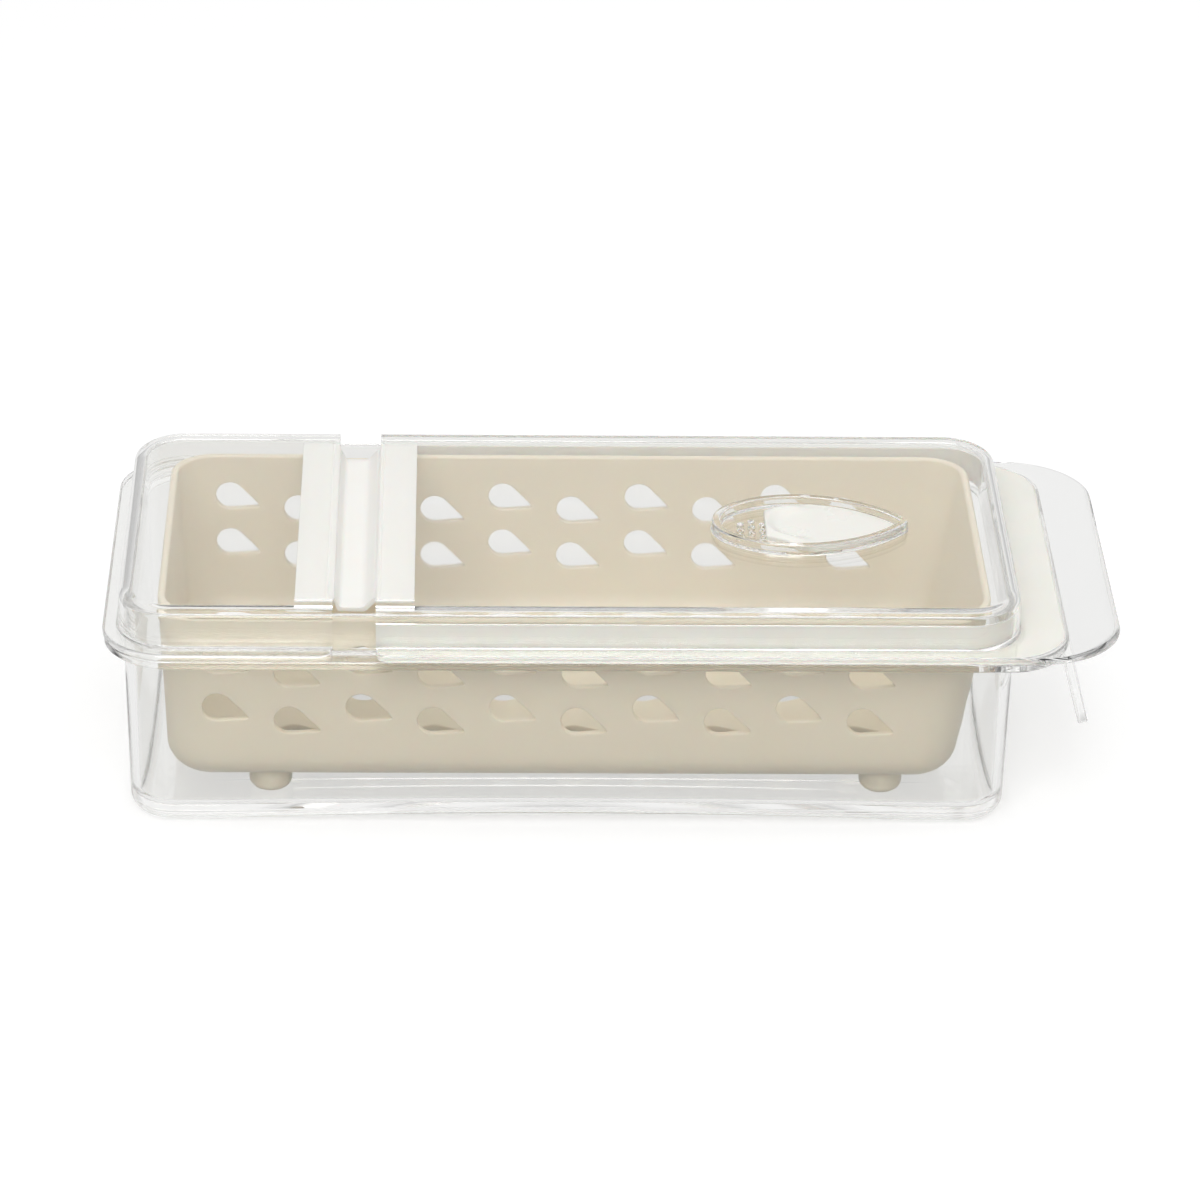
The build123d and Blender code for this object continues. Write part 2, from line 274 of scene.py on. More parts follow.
def wall_points(rows: Array, lattice: Lattice) -> Array:
    """Points of a chain of rings, all round.

    Formula: each ring is followed from the front's left line round by the right end, the back
    and the left end. The four corners are one corner run, mirrored.

    Args:
        rows: rings as rows, of shape (rings, 6).
        lattice: the lines that every ring is crossed by.

    Returns:
        Array of shape (rings, columns, 3) in millimetres.
    """
    left, right, half, left_round, right_round, height = rows.T
    x_lines, y_lines, steps = lattice.long_lines, lattice.end_lines, lattice.corner_steps
    x = np.broadcast_to(x_lines, (len(rows), len(x_lines)))
    y = np.broadcast_to(y_lines, (len(rows), len(y_lines)))
    side = long_side(rows, x)
    swapped = np.stack([-half, half, right, right_round, right_round, height], axis=-1)
    right_end = long_side(swapped, y)
    swapped = np.stack([-half, half, -left, left_round, left_round, height], axis=-1)
    left_end = long_side(swapped, y)
    front_right = corner_run(right, half, right_round, x_lines[-1], -y_lines[0], steps)
    back_right = corner_run(right, half, right_round, x_lines[-1], y_lines[-1], steps)[:, ::-1]
    back_left = corner_run(-left, half, left_round, -x_lines[0], y_lines[-1], steps)
    front_left = corner_run(-left, half, left_round, -x_lines[0], -y_lines[0], steps)[:, ::-1]
    flat = np.concatenate(
        [
            np.stack([x, -side], axis=-1),
            front_right * (1, -1),
            np.stack([right_end, y], axis=-1),
            back_right,
            np.stack([x, side], axis=-1)[:, ::-1],
            back_left * (-1, 1),
            np.stack([-left_end, y], axis=-1)[:, ::-1],
            front_left * (-1, -1),
        ],
        axis=1,
    )
    heights = np.broadcast_to(height[:, None, None], (*flat.shape[:2], 1))
    return np.concatenate([flat, heights], axis=-1)


def block_rim(lattice: Lattice, height: float) -> Array:
    """Edge of the flat block inside a shell's last ring, one point for each column of the shell.

    Args:
        lattice: the lines of the shell.
        height: height of the block.

    Returns:
        Array of shape (columns, 3).
    """
    x, y, steps = lattice.long_lines, lattice.end_lines, lattice.corner_steps
    along_x = np.concatenate(
        [x, np.full(2 * steps + len(y), x[-1]), x[::-1], np.full(2 * steps + len(y), x[0])]
    )
    front, back = np.full(len(x) + steps, y[0]), np.full(len(x) + 2 * steps, y[-1])
    along_y = np.concatenate([front, y, back, y[::-1], np.full(steps, y[0])])
    return np.stack([along_x, along_y, np.full(len(along_x), height)], axis=-1)


def flat_block(x: Array, y: Array, height: float) -> Array:
    """Flat grid at a height, of shape (places in y, places in x, 3)."""
    grid_x, grid_y = np.meshgrid(x, y)
    return np.stack([grid_x, grid_y, np.full_like(grid_x, height)], axis=-1)


def lines(*runs: tuple[float, float, int]) -> Array:
    """Line places from runs of (first, last, spans) that follow each other."""
    return np.unique(np.round(np.concatenate([np.linspace(a, b, n + 1) for a, b, n in runs]), 9))


class Shell:
    """Collects patches of quads in millimetres, then welds them into one closed mesh."""

    def __init__(self) -> None:
        """Starts with no patch."""
        self.points: list[Array] = []
        self.quads: list[Array] = []
        self.total = 0

    def patch(self, points: Array, closed: bool = False, keep: Array | None = None) -> None:
        """Adds a grid of points, joined to quads.

        Args:
            points: array of shape (rows, columns, 3).
            closed: the last column joins the first.
            keep: which quads stay, all of them when it is left out.
        """
        index = self.total + np.arange(points.shape[0] * points.shape[1]).reshape(points.shape[:2])
        if closed:
            index = np.concatenate([index, index[:, :1]], axis=1)
        quads = np.stack([index[:-1, :-1], index[:-1, 1:], index[1:, 1:], index[1:, :-1]], axis=-1)
        self.quads.append(quads.reshape(-1, 4) if keep is None else quads[keep])
        self.points.append(points.reshape(-1, 3))
        self.total += points.shape[0] * points.shape[1]

    def mesh(self, name: str, transform: Matrix | None = None) -> bpy.types.Mesh:
        """Welds the patches and closes what is open.

        Args:
            name: name of the mesh.
            transform: place of the shell, where it was worked out in its own plane.

        Returns:
            A closed mesh in metres with its faces outwards.
        """
        points, quads = np.concatenate(self.points), np.concatenate(self.quads)
        keys = np.floor(points / WELD + 0.37).astype(np.int64)
        _, first, new = np.unique(keys, axis=0, return_index=True, return_inverse=True)
        faces = new.reshape(-1)[quads]
        distinct = faces != np.roll(faces, 1, axis=1)
        sizes = distinct.sum(axis=1)
        distinct, faces, sizes = distinct[sizes > 2], faces[sizes > 2], sizes[sizes > 2]
        corners = faces[distinct]
        mesh = bpy.data.meshes.new(name)
        mesh.vertices.add(len(first))
        mesh.vertices.foreach_set("co", (points[first] * MM).ravel())
        mesh.loops.add(len(corners))
        mesh.loops.foreach_set("vertex_index", corners)
        mesh.polygons.add(len(sizes))
        mesh.polygons.foreach_set("loop_start", np.cumsum(sizes) - sizes)
        mesh.update(calc_edges=True)
        close_up(mesh)
        if transform is not None:
            mesh.transform(transform)
        return mesh


def close_up(mesh: bpy.types.Mesh) -> None:
    """Welds near points, fills flat open ends and turns every face outwards."""
    work = bmesh.new()
    work.from_mesh(mesh)
    bmesh.ops.remove_doubles(work, verts=work.verts, dist=1.5 * WELD * MM)
    bmesh.ops.holes_fill(work, edges=[edge for edge in work.edges if edge.is_boundary], sides=0)
    bmesh.ops.recalc_face_normals(work, faces=work.faces)
    work.to_mesh(mesh)
    work.free()


def smooth(mesh: bpy.types.Mesh) -> None:
    """Draws a mesh smooth, apart from the edges that turn sharply."""
    mesh.polygons.foreach_set("use_smooth", np.ones(len(mesh.polygons), dtype=bool))
    mesh.set_sharp_from_angle(angle=math.radians(SHARP_TURN))


def make_object(mesh: bpy.types.Mesh, name: str) -> bpy.types.Object:
    """Puts a mesh in the scene as an object at the origin."""
    piece = bpy.data.objects.new(name, mesh)
    bpy.context.scene.collection.objects.link(piece)
    return piece


def settle(piece: bpy.types.Object) -> None:
    """Applies the modifiers of a piece to its mesh."""
    evaluated = piece.evaluated_get(bpy.context.evaluated_depsgraph_get())
    mesh = bpy.data.meshes.new_from_object(evaluated)
    piece.modifiers.clear()
    piece.data = mesh


def combine(piece: bpy.types.Object, tools: list[bpy.types.Mesh], how: Combine) -> None:
    """Joins solids to a moulding, or cuts them out of it.

    Args:
        piece: the moulding.
        tools: closed meshes in metres, which are used up.
        how: join or cut.
    """
    for number, mesh in enumerate(tools):
        tool = make_object(mesh, f"tool_{number}")
        change = piece.modifiers.new("change", "BOOLEAN")
        change.operation = how.value
        change.solver = "MANIFOLD"
        change.object = tool
        settle(piece)
        bpy.data.objects.remove(tool)


def ease_edges(piece: bpy.types.Object, width: float) -> None:
    """Rounds the sharp edges of a moulding a little, as a mould leaves them.

    Args:
        piece: the moulding.
        width: width of the round in millimetres.
    """
    bevel = piece.modifiers.new("eased", "BEVEL")
    bevel.width = width * MM
    bevel.segments = EASED_SPANS
    bevel.limit_method = "ANGLE"
    bevel.angle_limit = math.radians(EASED_TURN)
    bevel.use_clamp_overlap = True
    settle(piece)


# Teardrop outlines, for the basket's holes and the vent


@dataclass(frozen=True)
class Teardrop:
    """Closed outline of tangent arcs, alike above and below its middle line.

    Each arc is (last outward direction in degrees, centre along, centre across, radius) and the
    directions grow from the tip's nought to the tail's half turn.
    """

    arcs: tuple[tuple[float, float, float, float], ...]
    middle: float

    def outline(self, grown: float, count: int = 1440) -> Array:
        """Dense points of the outline let out by an amount.

        Formula: a point is the centre of its arc, plus the radius and the amount along the
        outward direction. The points are then spaced evenly along the way round, which also
        puts points on the straight lines between two arcs.

        Args:
            grown: amount that the outline is let out by.
            count: number of points.

        Returns:
            Array of shape (count, 2), from the tip round.
        """
        direction = np.linspace(-180, 180, count + 1)
        ends = np.array([arc[0] for arc in self.arcs[:-1]])
        _, along, across, radius = np.array(self.arcs).T[:, np.searchsorted(ends, np.abs(direction))]
        angle = np.radians(direction)
        x = along + (radius + grown) * np.cos(angle)
        y = np.sign(angle) * across + (radius + grown) * np.sin(angle)
        way = np.concatenate([[0], np.cumsum(np.hypot(np.diff(x), np.diff(y)))])
        even = np.linspace(0, way[-1], count, endpoint=False)
        return np.stack([np.interp(even, way, x), np.interp(even, way, y)], axis=-1)

    def toward(self, places: Array, grown: float, tilt: float = 0.0) -> Array:
        """Point of the outline that each place looks at from the outline's middle.

        Formula: the outline as a radius over the angle about its middle, read at the angle of
        each place. The place nearest to the tip's angle is read at the tip itself.

        Args:
            places: points round the outline, about its origin, of shape (count, 2).
            grown: amount that the outline is let out by.
            tilt: turn of the outline in degrees.

        Returns:
            Array of shape (count, 2).
        """
        turn = math.radians(tilt)
        spin = np.array([[math.cos(turn), math.sin(turn)], [-math.sin(turn), math.cos(turn)]])
        dense = self.outline(grown) - (self.middle, 0)
        angle = np.arctan2(dense[:, 1], dense[:, 0])
        order = np.argsort(angle)
        radius = np.hypot(dense[:, 0], dense[:, 1])
        seen = places @ spin.T - (self.middle, 0)
        look = np.arctan2(seen[:, 1], seen[:, 0])
        look[np.argmin(np.abs(look))] = 0
        reach = np.interp(look, angle[order], radius[order], period=2 * math.pi)
        found = np.stack([reach * np.cos(look) + self.middle, reach * np.sin(look)], axis=-1)
        return found @ spin


def drop_outline(radius: float, reach: float, tip: float) -> Teardrop:
    """Round hole drawn out to a small round tip by two tangent lines.

    Args:
        radius: radius of the round part.
        reach: distance from its middle to where the two lines would meet.
        tip: radius of the tip.

    Returns:
        The outline.
    """
    lean = math.acos(radius / reach)
    tip_x = (radius - tip) / math.cos(lean)
    arcs = ((math.degrees(lean), tip_x, 0, tip), (180, 0, 0, radius))
    return Teardrop(arcs, reach * 0.22)


def vent_outline(half: float, tail: float, nose: float, tail_round: float, tip: float) -> Teardrop:
    """Vent outline: a round tail, two bowed flanks and two bowed sides to a small round tip.

    Args:
        half: half width at the widest place.
        tail: length behind that place.
        nose: length ahead of it.
        tail_round: radius of the tail.
        tip: radius of the tip.

    Returns:
        The outline.
    """
    bow = (nose**2 + half**2) / (2 * half)
    tip_x = math.sqrt((bow - tip) ** 2 - (bow - half) ** 2)
    tip_turn = math.degrees(math.atan2(bow - half, tip_x))
    reach = tail - tail_round
    flank = (reach**2 + half**2 - tail_round**2) / (2 * (half - tail_round))
    tail_turn = math.degrees(math.atan2(flank - half, -reach))
    arcs = (
        (tip_turn, tip_x, 0, tip),
        (90, 0, half - bow, bow),
        (tail_turn, 0, half - flank, flank),
        (180, -reach, 0, tail_round),
    )
    return Teardrop(arcs, (nose - tail) / 2)


def cell_rim(x: Array, y: Array) -> Array:
    """Edge of a rectangular cell, in order, of shape (points, 2)."""
    bottom = np.stack([x[:-1], np.full(len(x) - 1, y[0])], axis=-1)
    right = np.stack([np.full(len(y) - 1, x[-1]), y[:-1]], axis=-1)
    top = np.stack([x[:0:-1], np.full(len(x) - 1, y[-1])], axis=-1)
    left = np.stack([np.full(len(y) - 1, x[0]), y[:0:-1]], axis=-1)
    return np.concatenate([bottom, right, top, left])


# Finishes


def linear(value: str) -> tuple[float, float, float, float]:
    """Turns an sRGB hex colour to linear with full alpha.

    Args:
        value: colour such as "#EDEAE0".

    Returns:
        Linear red, green and blue, and one.
    """
    parts = [int(value[i : i + 2], 16) / 255 for i in (1, 3, 5)]
    red, green, blue = (p / 12.92 if p <= 0.04045 else ((p + 0.055) / 1.055) ** 2.4 for p in parts)
    return red, green, blue, 1.0


def add_node(
    material: bpy.types.Material,
    kind: str,
    settings: dict[str, object] | None = None,
    links: dict[str, bpy.types.NodeSocket] | None = None,
) -> bpy.types.Node:
    """Adds a node with its settings and its links.

    Args:
        material: material that gets the node.
        kind: type name of the node.
        settings: property or input names and their values.
        links: input names and the sockets that feed them.

    Returns:
        The node.
    """
    node = material.node_tree.nodes.new(kind)
    for name, value in (settings or {}).items():
        if name in node.inputs:
            node.inputs[name].default_value = value
        else:
            setattr(node, name, value)
    for name, socket in (links or {}).items():
        material.node_tree.links.new(socket, node.inputs[name])
    return node


@dataclass(frozen=True)
class Finish:
    """Moulded finish: a shader's plain values, a mottled roughness and two scales of relief."""

    name: str
    colour: str
    deeper: str
    roughness: tuple[float, float]
    ior: float
    mottle: float
    grain: float
    grain_depth: float
    wave: float
    wave_depth: float
    extras: tuple[tuple[str, float], ...] = ()

    def build(self) -> bpy.types.Material:
        """Makes the material.

        The sizes are in millimetres: mottle is how broad the soft changes of colour and gloss
        are, grain is the pitch of the mould's fine texture and wave the length of its flow waves.
        """
        material = bpy.data.materials.new(self.name)
        material.use_nodes = True
        tree = material.node_tree
        tree.nodes.clear()
        place = add_node(material, "ShaderNodeTexCoord").outputs["Object"]
        patterns = (
            (self.mottle, {"Detail": 3.0, "Roughness": 0.6}),
            (self.grain, {"Detail": 2.0}),
            (self.wave, {"Detail": 0.0}),
        )
        broad, fine, slow = (
            add_node(
                material, "ShaderNodeTexNoise", {"Scale": 1 / (size * MM), **rest}, {"Vector": place}
            ).outputs["Fac"]
            for size, rest in patterns
        )
        tint = add_node(material, "ShaderNodeMix", {"data_type": "RGBA"})
        tint.inputs[6].default_value = linear(self.colour)
        tint.inputs[7].default_value = linear(self.deeper)
        tree.links.new(broad, tint.inputs[0])
        gloss = add_node(
            material,
            "ShaderNodeMapRange",
            {"From Min": 0.3, "From Max": 0.7, "To Min": self.roughness[0], "To Max": self.roughness[1]},
            {"Value": broad},
        ).outputs["Result"]
        waves = add_node(
            material,
            "ShaderNodeBump",
            {"Strength": 1.0, "Distance": self.wave_depth * MM},
            {"Height": slow},
        ).outputs["Normal"]
        relief = add_node(
            material,
            "ShaderNodeBump",
            {"Strength": 1.0, "Distance": self.grain_depth * MM},
            {"Height": fine, "Normal": waves},
        ).outputs["Normal"]
        shader = add_node(
            material,
            "ShaderNodeBsdfPrincipled",
            {"IOR": self.ior, **dict(self.extras)},
            {"Base Color": tint.outputs[2], "Roughness": gloss, "Normal": relief},
        )
        add_node(material, "ShaderNodeOutputMaterial", links={"Surface": shader.outputs["BSDF"]})
        return material


# Clear styrene acrylonitrile, polished mould: glassy, a little grey at its edges, slight flow waves
CLEAR_STYRENE = Finish(
    "clear_styrene_polished_mould", "#FDFDFC", "#FCFCFB", (0.01, 0.035), 1.57, 60.0, 1.2, 0.0006, 26.0, 0.012,
    (("Transmission Weight", 1.0),),
)
# Polypropylene, satin mould: warm off-white, dull sheen, a little light goes into it
BASKET_POLYPROPYLENE = Finish(
    "satin_polypropylene", "#ECE3CE", "#E7DDC7", (0.36, 0.46), 1.49, 40.0, 0.45, 0.004, 30.0, 0.02,
    (("Subsurface Weight", 0.12), ("Subsurface Scale", 0.0015)),
)
# Thermoplastic elastomer, matt mould: soft white with no clear reflection
STRIP_ELASTOMER = Finish(
    "matt_elastomer_soft_strip", "#F3F2EE", "#EEEDE8", (0.52, 0.64), 1.5, 24.0, 0.35, 0.004, 18.0, 0.015,
    (("Subsurface Weight", 0.15), ("Subsurface Scale", 0.0012)),
)
# Silicone rubber, pressed: milky white, slightly waxy
GASKET_SILICONE = Finish(
    "pressed_silicone_gasket", "#F1F0EA", "#EBEAE2", (0.4, 0.52), 1.43, 22.0, 0.5, 0.003, 16.0, 0.01,
    (("Subsurface Weight", 0.2), ("Subsurface Scale", 0.0015)),
)
# Acetal, fine mould: bright white with a soft gloss
SLIDE_ACETAL = Finish(
    "bright_acetal_slide", "#F0EFE9", "#ECEBE4", (0.24, 0.33), 1.48, 18.0, 0.4, 0.002, 14.0, 0.008,
    (("Subsurface Weight", 0.1), ("Subsurface Scale", 0.001)),
)


def dress(piece: bpy.types.Object, material: bpy.types.Material, body: str, slot: str, *nodes: str) -> None:
    """Gives a finished piece its material and its body, and hides the nodes that it stands for.

    Args:
        piece: the finished piece.
        material: its material.
        body: body that it rides on, or none for a piece that lies between two.
        slot: not used.
        nodes: nodes of the frame that it replaces.
    """
    smooth(piece.data)
    piece.data.materials.clear()
    piece.data.materials.append(material)
    if body:
        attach(piece, body)
    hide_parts(*nodes)
    LOG.info("%s: %d faces", piece.name, len(piece.data.polygons))


def slab(
    width: tuple[float, float],
    half: float,
    rounds: tuple[float, float],
    depth: tuple[float, float],
    ease: float,
) -> Shell:
    """Flat slab with rounded corners and eased edges, in its own plane.

    Args:
        width: its left and right ends.
        half: its half width across.
        rounds: corner radii at its left and its right end.
        depth: its lower and upper faces.
        ease: radius of its edges.

    Returns:
        A closed shell.
    """
    low, high = (Ring(*width, half, *rounds, height) for height in depth)
    drawn_in = 1.6 * ease
    margin = min(rounds) * 0.5 + ease
    flat = Lattice(
        lines((width[0] + margin, width[1] - margin, 6)), lines((margin - half, half - margin, 6)), 10
    )
    chain = [low.inset(drawn_in, depth[0]), low, high, high.inset(drawn_in, depth[1])]
    rows = soften(chain, [ease, ease], 4, 0.05)
    wall = wall_points(rows, flat)
    shell = Shell()
    shell.patch(
        np.concatenate([block_rim(flat, depth[0])[None], wall, block_rim(flat, depth[1])[None]]), closed=True
    )
    for height in depth:
        shell.patch(flat_block(flat.long_lines, flat.end_lines, height))
    return shell


# Mouldings


@dataclass
class BaseBin:
    """Clear bin: drafted walls, an arched underside, a rim, a collar and a pull plate."""

    length: float = 254.0
    width: float = 115.6
    corner: float = 14.0
    draft: float = 1.2
    arch_rise: float = 2.0
    arch_length: float = 206.0
    floor: float = 2.5
    bottom_round: float = 6.0
    inner_round: float = 4.0
    least_corner: float = 2.0
    sole_run: float = 9.0
    floor_run: float = 7.0
    block_inset: float = 20.0
    rim_thickness: float = 2.6
    rim_rounds: tuple[float, float] = (20.0, 18.0)
    rim_root: float = 0.7
    rim_edge: float = 0.55
    collar_edge: float = 0.5
    collar_step: float = 0.9
    collar_wall: float = 1.7
    collar_height: float = 11.0
    collar_draft: float = 0.6
    room_draft: float = 1.0
    plate_width: float = 98.0
    plate_drop: float = 28.1
    plate_thickness: float = 2.8
    plate_lean: float = 15.0
    plate_sink: float = 1.6
    plate_corners: tuple[float, float] = (1.0, 3.0)
    plate_edge: float = 0.45
    flange_overhang: float = 0.4
    flange_end: float = 5.8
    rim_reach: float = 15.3

    def __post_init__(self) -> None:
        """Reads the rim and the collar's top from the frame."""
        self.low, self.high = node_box("base_bin")
        self.collar_top = self.high[2]
        self.rim_top = self.collar_top - self.collar_height
        self.middle = self.low[0] - self.flange_overhang + self.flange_end + self.length / 2
        self.rim_right = self.middle + self.length / 2 + self.rim_reach

    def ring(self, inset: float, height: float) -> Ring:
        """Ring of the walls' outline at the rim, drawn in by an amount."""
        corner = max(self.corner - inset, self.least_corner)
        end = self.length / 2 - inset
        return Ring(self.middle - end, self.middle + end, self.width / 2 - inset, corner, corner, height)

    def rings(self) -> tuple[list[Ring], list[float]]:
        """Corners of the wall's chain, from the underside over the rim and collar to the floor."""
        fall = math.tan(math.radians(self.draft))
        rim_low = self.rim_top - self.rim_thickness
        foot_inset = self.rim_top * fall
        collar_fall = self.collar_height * math.tan(math.radians(self.collar_draft))
        collar_head = self.collar_step + collar_fall
        mouth = self.collar_step + self.collar_wall + collar_fall
        floor_top = self.arch_rise + self.floor
        room = mouth + (self.collar_top - floor_top) * math.tan(math.radians(self.room_draft))
        rim = Ring(self.low[0], self.rim_right, self.high[1], *self.rim_rounds, rim_low)
        chain = [
            (self.ring(foot_inset + self.sole_run, 0), 0),
            (self.ring(foot_inset, 0), self.bottom_round),
            (self.ring(self.rim_thickness * fall, rim_low), self.rim_root),
            (rim, self.rim_edge),
            (rim.inset(0, self.rim_top), self.rim_edge),
            (self.ring(self.collar_step, self.rim_top), self.collar_edge),
            (self.ring(collar_head, self.collar_top), self.collar_edge),
            (self.ring(mouth, self.collar_top), self.collar_edge),
            (self.ring(room, floor_top), self.inner_round),
            (self.ring(room + self.floor_run, floor_top), 0),
        ]
        return [ring for ring, _ in chain], [radius for _, radius in chain[1:-1]]

    def arch(self, points: Array) -> Array:
        """Lifts the underside to its arch.

        Formula: the rise falls with the square of the distance from the middle to nothing at the
        arch's ends, and fades out over the height of the bottom round.
        """
        across = (points[..., 0] - self.middle) / (self.arch_length / 2)
        fade = np.clip(1 - points[..., 2] / (2 * self.bottom_round), 0, 1)
        lifted = points.copy()
        lifted[..., 2] += self.arch_rise * np.clip(1 - across**2, 0, 1) * fade
        return lifted

    def plate(self) -> bpy.types.Mesh:
        """Pull plate: a leaning slab, whose top is sunk into the rim."""
        lean = math.radians(self.plate_lean)
        height = (self.plate_drop - self.plate_sink) / math.cos(lean)
        half = self.plate_width / 2
        shell = slab((0.0, height), half, self.plate_corners, (0.0, self.plate_thickness), self.plate_edge)
        outward = Vector((math.cos(lean), 0, math.sin(lean)))
        down = Vector((math.sin(lean), 0, -math.cos(lean)))
        across = outward.cross(down)
        top_x = self.rim_right - self.plate_thickness / math.cos(lean)
        top = Vector((top_x, 0, self.rim_top - self.plate_sink)) * MM
        turn = Matrix((down, across, outward)).transposed().to_4x4()
        return shell.mesh("pull_plate", Matrix.Translation(top) @ turn)

    def build(self, material: bpy.types.Material) -> bpy.types.Object:
        """Makes the bin as one moulding and puts it on its body."""
        inset = self.block_inset
        long_end = self.length / 2 - inset
        flat = Lattice(
            lines((self.middle - long_end, self.middle + long_end, 36)),
            lines((inset - self.width / 2, self.width / 2 - inset, 8)),
            16,
        )
        wall = wall_points(soften(*self.rings(), steps=7), flat)
        under, floor = wall[0, 0, 2], wall[-1, 0, 2]
        shell = Shell()
        whole = np.concatenate([block_rim(flat, under)[None], wall, block_rim(flat, floor)[None]])
        shell.patch(self.arch(whole), closed=True)
        shell.patch(self.arch(flat_block(flat.long_lines, flat.end_lines, under)))
        shell.patch(flat_block(flat.long_lines, flat.end_lines, floor))
        piece = make_object(shell.mesh("clear_bin"), "clear_bin")
        combine(piece, [self.plate()], Combine.JOIN)
        dress(piece, material, "base", "clear_bin", "base_bin")
        return piece


@dataclass
class ColanderBasket:
    """Off-white basket: uneven drafted walls, rows of droplet holes with round lips, round feet."""

    wall: float = 2.2
    corner: float = 13.0
    least_corner: float = 3.0
    corner_slack: float = 1.2
    bottom_round: float = 9.0
    side_draft: float = 1.2
    left_draft: float = 2.4
    right_draft: float = 10.0
    foot_diameter: float = 12.4
    foot_height: float = 6.6
    foot_round: float = 2.6
    foot_inset_side: float = 13.2
    foot_inset_left: float = 31.6
    foot_inset_right: float = 29.7
    foot_hold: float = 0.4
    sole_shares: tuple[float, ...] = (0.0, 0.5, 0.92)
    drop_radius: float = 4.3
    drop_reach: float = 10.0
    drop_tip: float = 0.35
    drop_tilt: float = -21.0
    drop_pitch: float = 20.45
    drop_columns: int = 10
    drop_first: float = 21.3
    drop_row_pitch: float = 15.2
    drop_rows: int = 2
    drop_row_height: float = 24.9
    drop_stagger: float = 4.2
    floor_rows: int = 3
    floor_pitch: float = 24.0
    cell_share: float = 0.62
    cell_margin: float = 1.0
    level_margins: tuple[float, float] = (2.0, 3.0)
    draw_in: tuple[float, ...] = (0.0, 0.45, 0.8)
    lip: float = 0.45
    edge_round: float = 0.8
    spans_long: int = 12
    spans_high: int = 8

    def __post_init__(self) -> None:
        """Reads the basket's outline from the frame, and sets out the cells of the holes."""
        self.low, self.high = node_box("colander_basket")
        self.bottom = self.low[2] + self.foot_height
        self.top = self.high[2]
        self.first_drop = self.low[0] + self.drop_first - self.drop_radius
        ahead = self.drop_pitch * self.cell_share
        edges = self.first_drop + ahead + self.drop_pitch * np.arange(-1, self.drop_columns)
        edges[0] = self.first_drop - self.drop_radius - self.cell_margin
        self.cells = edges
        low_row = self.bottom + self.drop_row_height - self.drop_stagger / 2
        self.levels = low_row + self.drop_row_pitch * (np.arange(self.drop_rows + 1) - 0.5)
        self.floor_levels = self.floor_pitch * (np.arange(self.floor_rows + 1) - self.floor_rows / 2)
        self.outline = drop_outline(self.drop_radius, self.drop_reach, self.drop_tip)
        spans = [(a, b, self.spans_long) for a, b in zip(edges, edges[1:])]
        rows = [(a, b, self.spans_long) for a, b in zip(self.floor_levels, self.floor_levels[1:])]
        self.lattice = Lattice(lines(*spans), lines(*rows), 16)

    def rows(self, height: Array, inset: float) -> Array:
        """Rings of the wall at heights, its bottom round among them.

        Formula: a wall falls inward by its draft, and below the point where it touches the
        bottom's circle it follows that circle, whose middle stands one radius above the floor.

        Args:
            height: heights of the rings.
            inset: nought for the outer face, and the wall's thickness for the inner one.

        Returns:
            Rows of six numbers.
        """
        ground = self.bottom + inset
        radius = self.bottom_round - inset

        def drawn_in(draft: float) -> Array:
            """Distance that a wall of a draft stands in from its place at the top."""
            slope = math.tan(math.radians(draft))
            touch = radius * math.tan(math.radians((90 - draft) / 2))
            straight = (self.top - height) * slope
            rise = np.clip(radius + ground - height, 0, radius)
            circle = (self.top - ground) * slope + touch - np.sqrt(radius**2 - rise**2)
            low_part = height < ground + touch * math.cos(math.radians(draft))
            return inset + np.where(low_part, circle, straight)

        left, right, side = (drawn_in(d) for d in (self.left_draft, self.right_draft, self.side_draft))
        shrink = np.maximum(side - inset - self.corner_slack, 0)
        corner = np.maximum(self.corner - inset - shrink, self.least_corner)
        return np.stack(
            [self.low[0] + left, self.high[0] - right, self.high[1] - side, corner, corner, height], axis=-1
        )

    def chain(self) -> Array:
        """Rings from the underside's edge up the outer face, over the lip and down to the floor."""
        turn = np.radians(np.linspace(90, 0, 10))
        cell_levels = lines(*[(a, b, self.spans_high) for a, b in zip(self.levels, self.levels[1:])])
        below, above = self.levels[0] - self.level_margins[0], self.levels[-1] + self.level_margins[1]
        faces = []
        for inset in (0.0, self.wall):
            radius = self.bottom_round - inset
            low_part = self.bottom + inset + radius * (1 - np.sin(turn))
            height = np.concatenate([low_part, [below], cell_levels, [above]])
            faces.append(self.rows(height, inset))
        outer, inner = (Ring(*self.rows(np.array([self.top]), inset)[0]) for inset in (0.0, self.wall))
        outer_low, inner_low = (Ring(*face[-1]) for face in faces)
        lip = soften([outer_low, outer, inner, inner_low], [self.edge_round, self.edge_round], 5, 0.2)
        return np.concatenate([faces[0][:-1], lip, faces[1][:-1][::-1]])

    def drop_cell(self, x: Array, y: Array, centre: Array, tilt: float, surfaces: list[Face]) -> Array:
        """Cell of a wall with a droplet hole through it.

        Formula: the cell's edge draws in to the outline let out by the lip, the lip turns a
        quarter round into the hole, and the same is done back from the other face.

        Args:
            x: the cell's lines in one direction.
            y: its lines in the other.
            centre: middle of the droplet.
            tilt: turn of the droplet in degrees.
            surfaces: the outer and the inner face, as functions of a place on the wall.

        Returns:
            Array of shape (rings, points, 3).
        """
        rim = cell_rim(x, y)
        about = rim - centre
        rings, near = [], self.outline.toward(about, self.lip, tilt) + centre
        for share in self.draw_in:
            rings.append((rim + (near - rim) * share, 0.0))
        for angle in np.radians([0, 30, 60, 90]):
            flat = self.outline.toward(about, self.lip * (1 - math.sin(angle)), tilt) + centre
            rings.append((flat, self.lip * (1 - math.cos(angle)) / self.wall))
        rings += [(flat, 1 - depth) for flat, depth in reversed(rings)]
        outer, inner = surfaces
        return np.array([outer(flat) * (1 - depth) + inner(flat) * depth for flat, depth in rings])

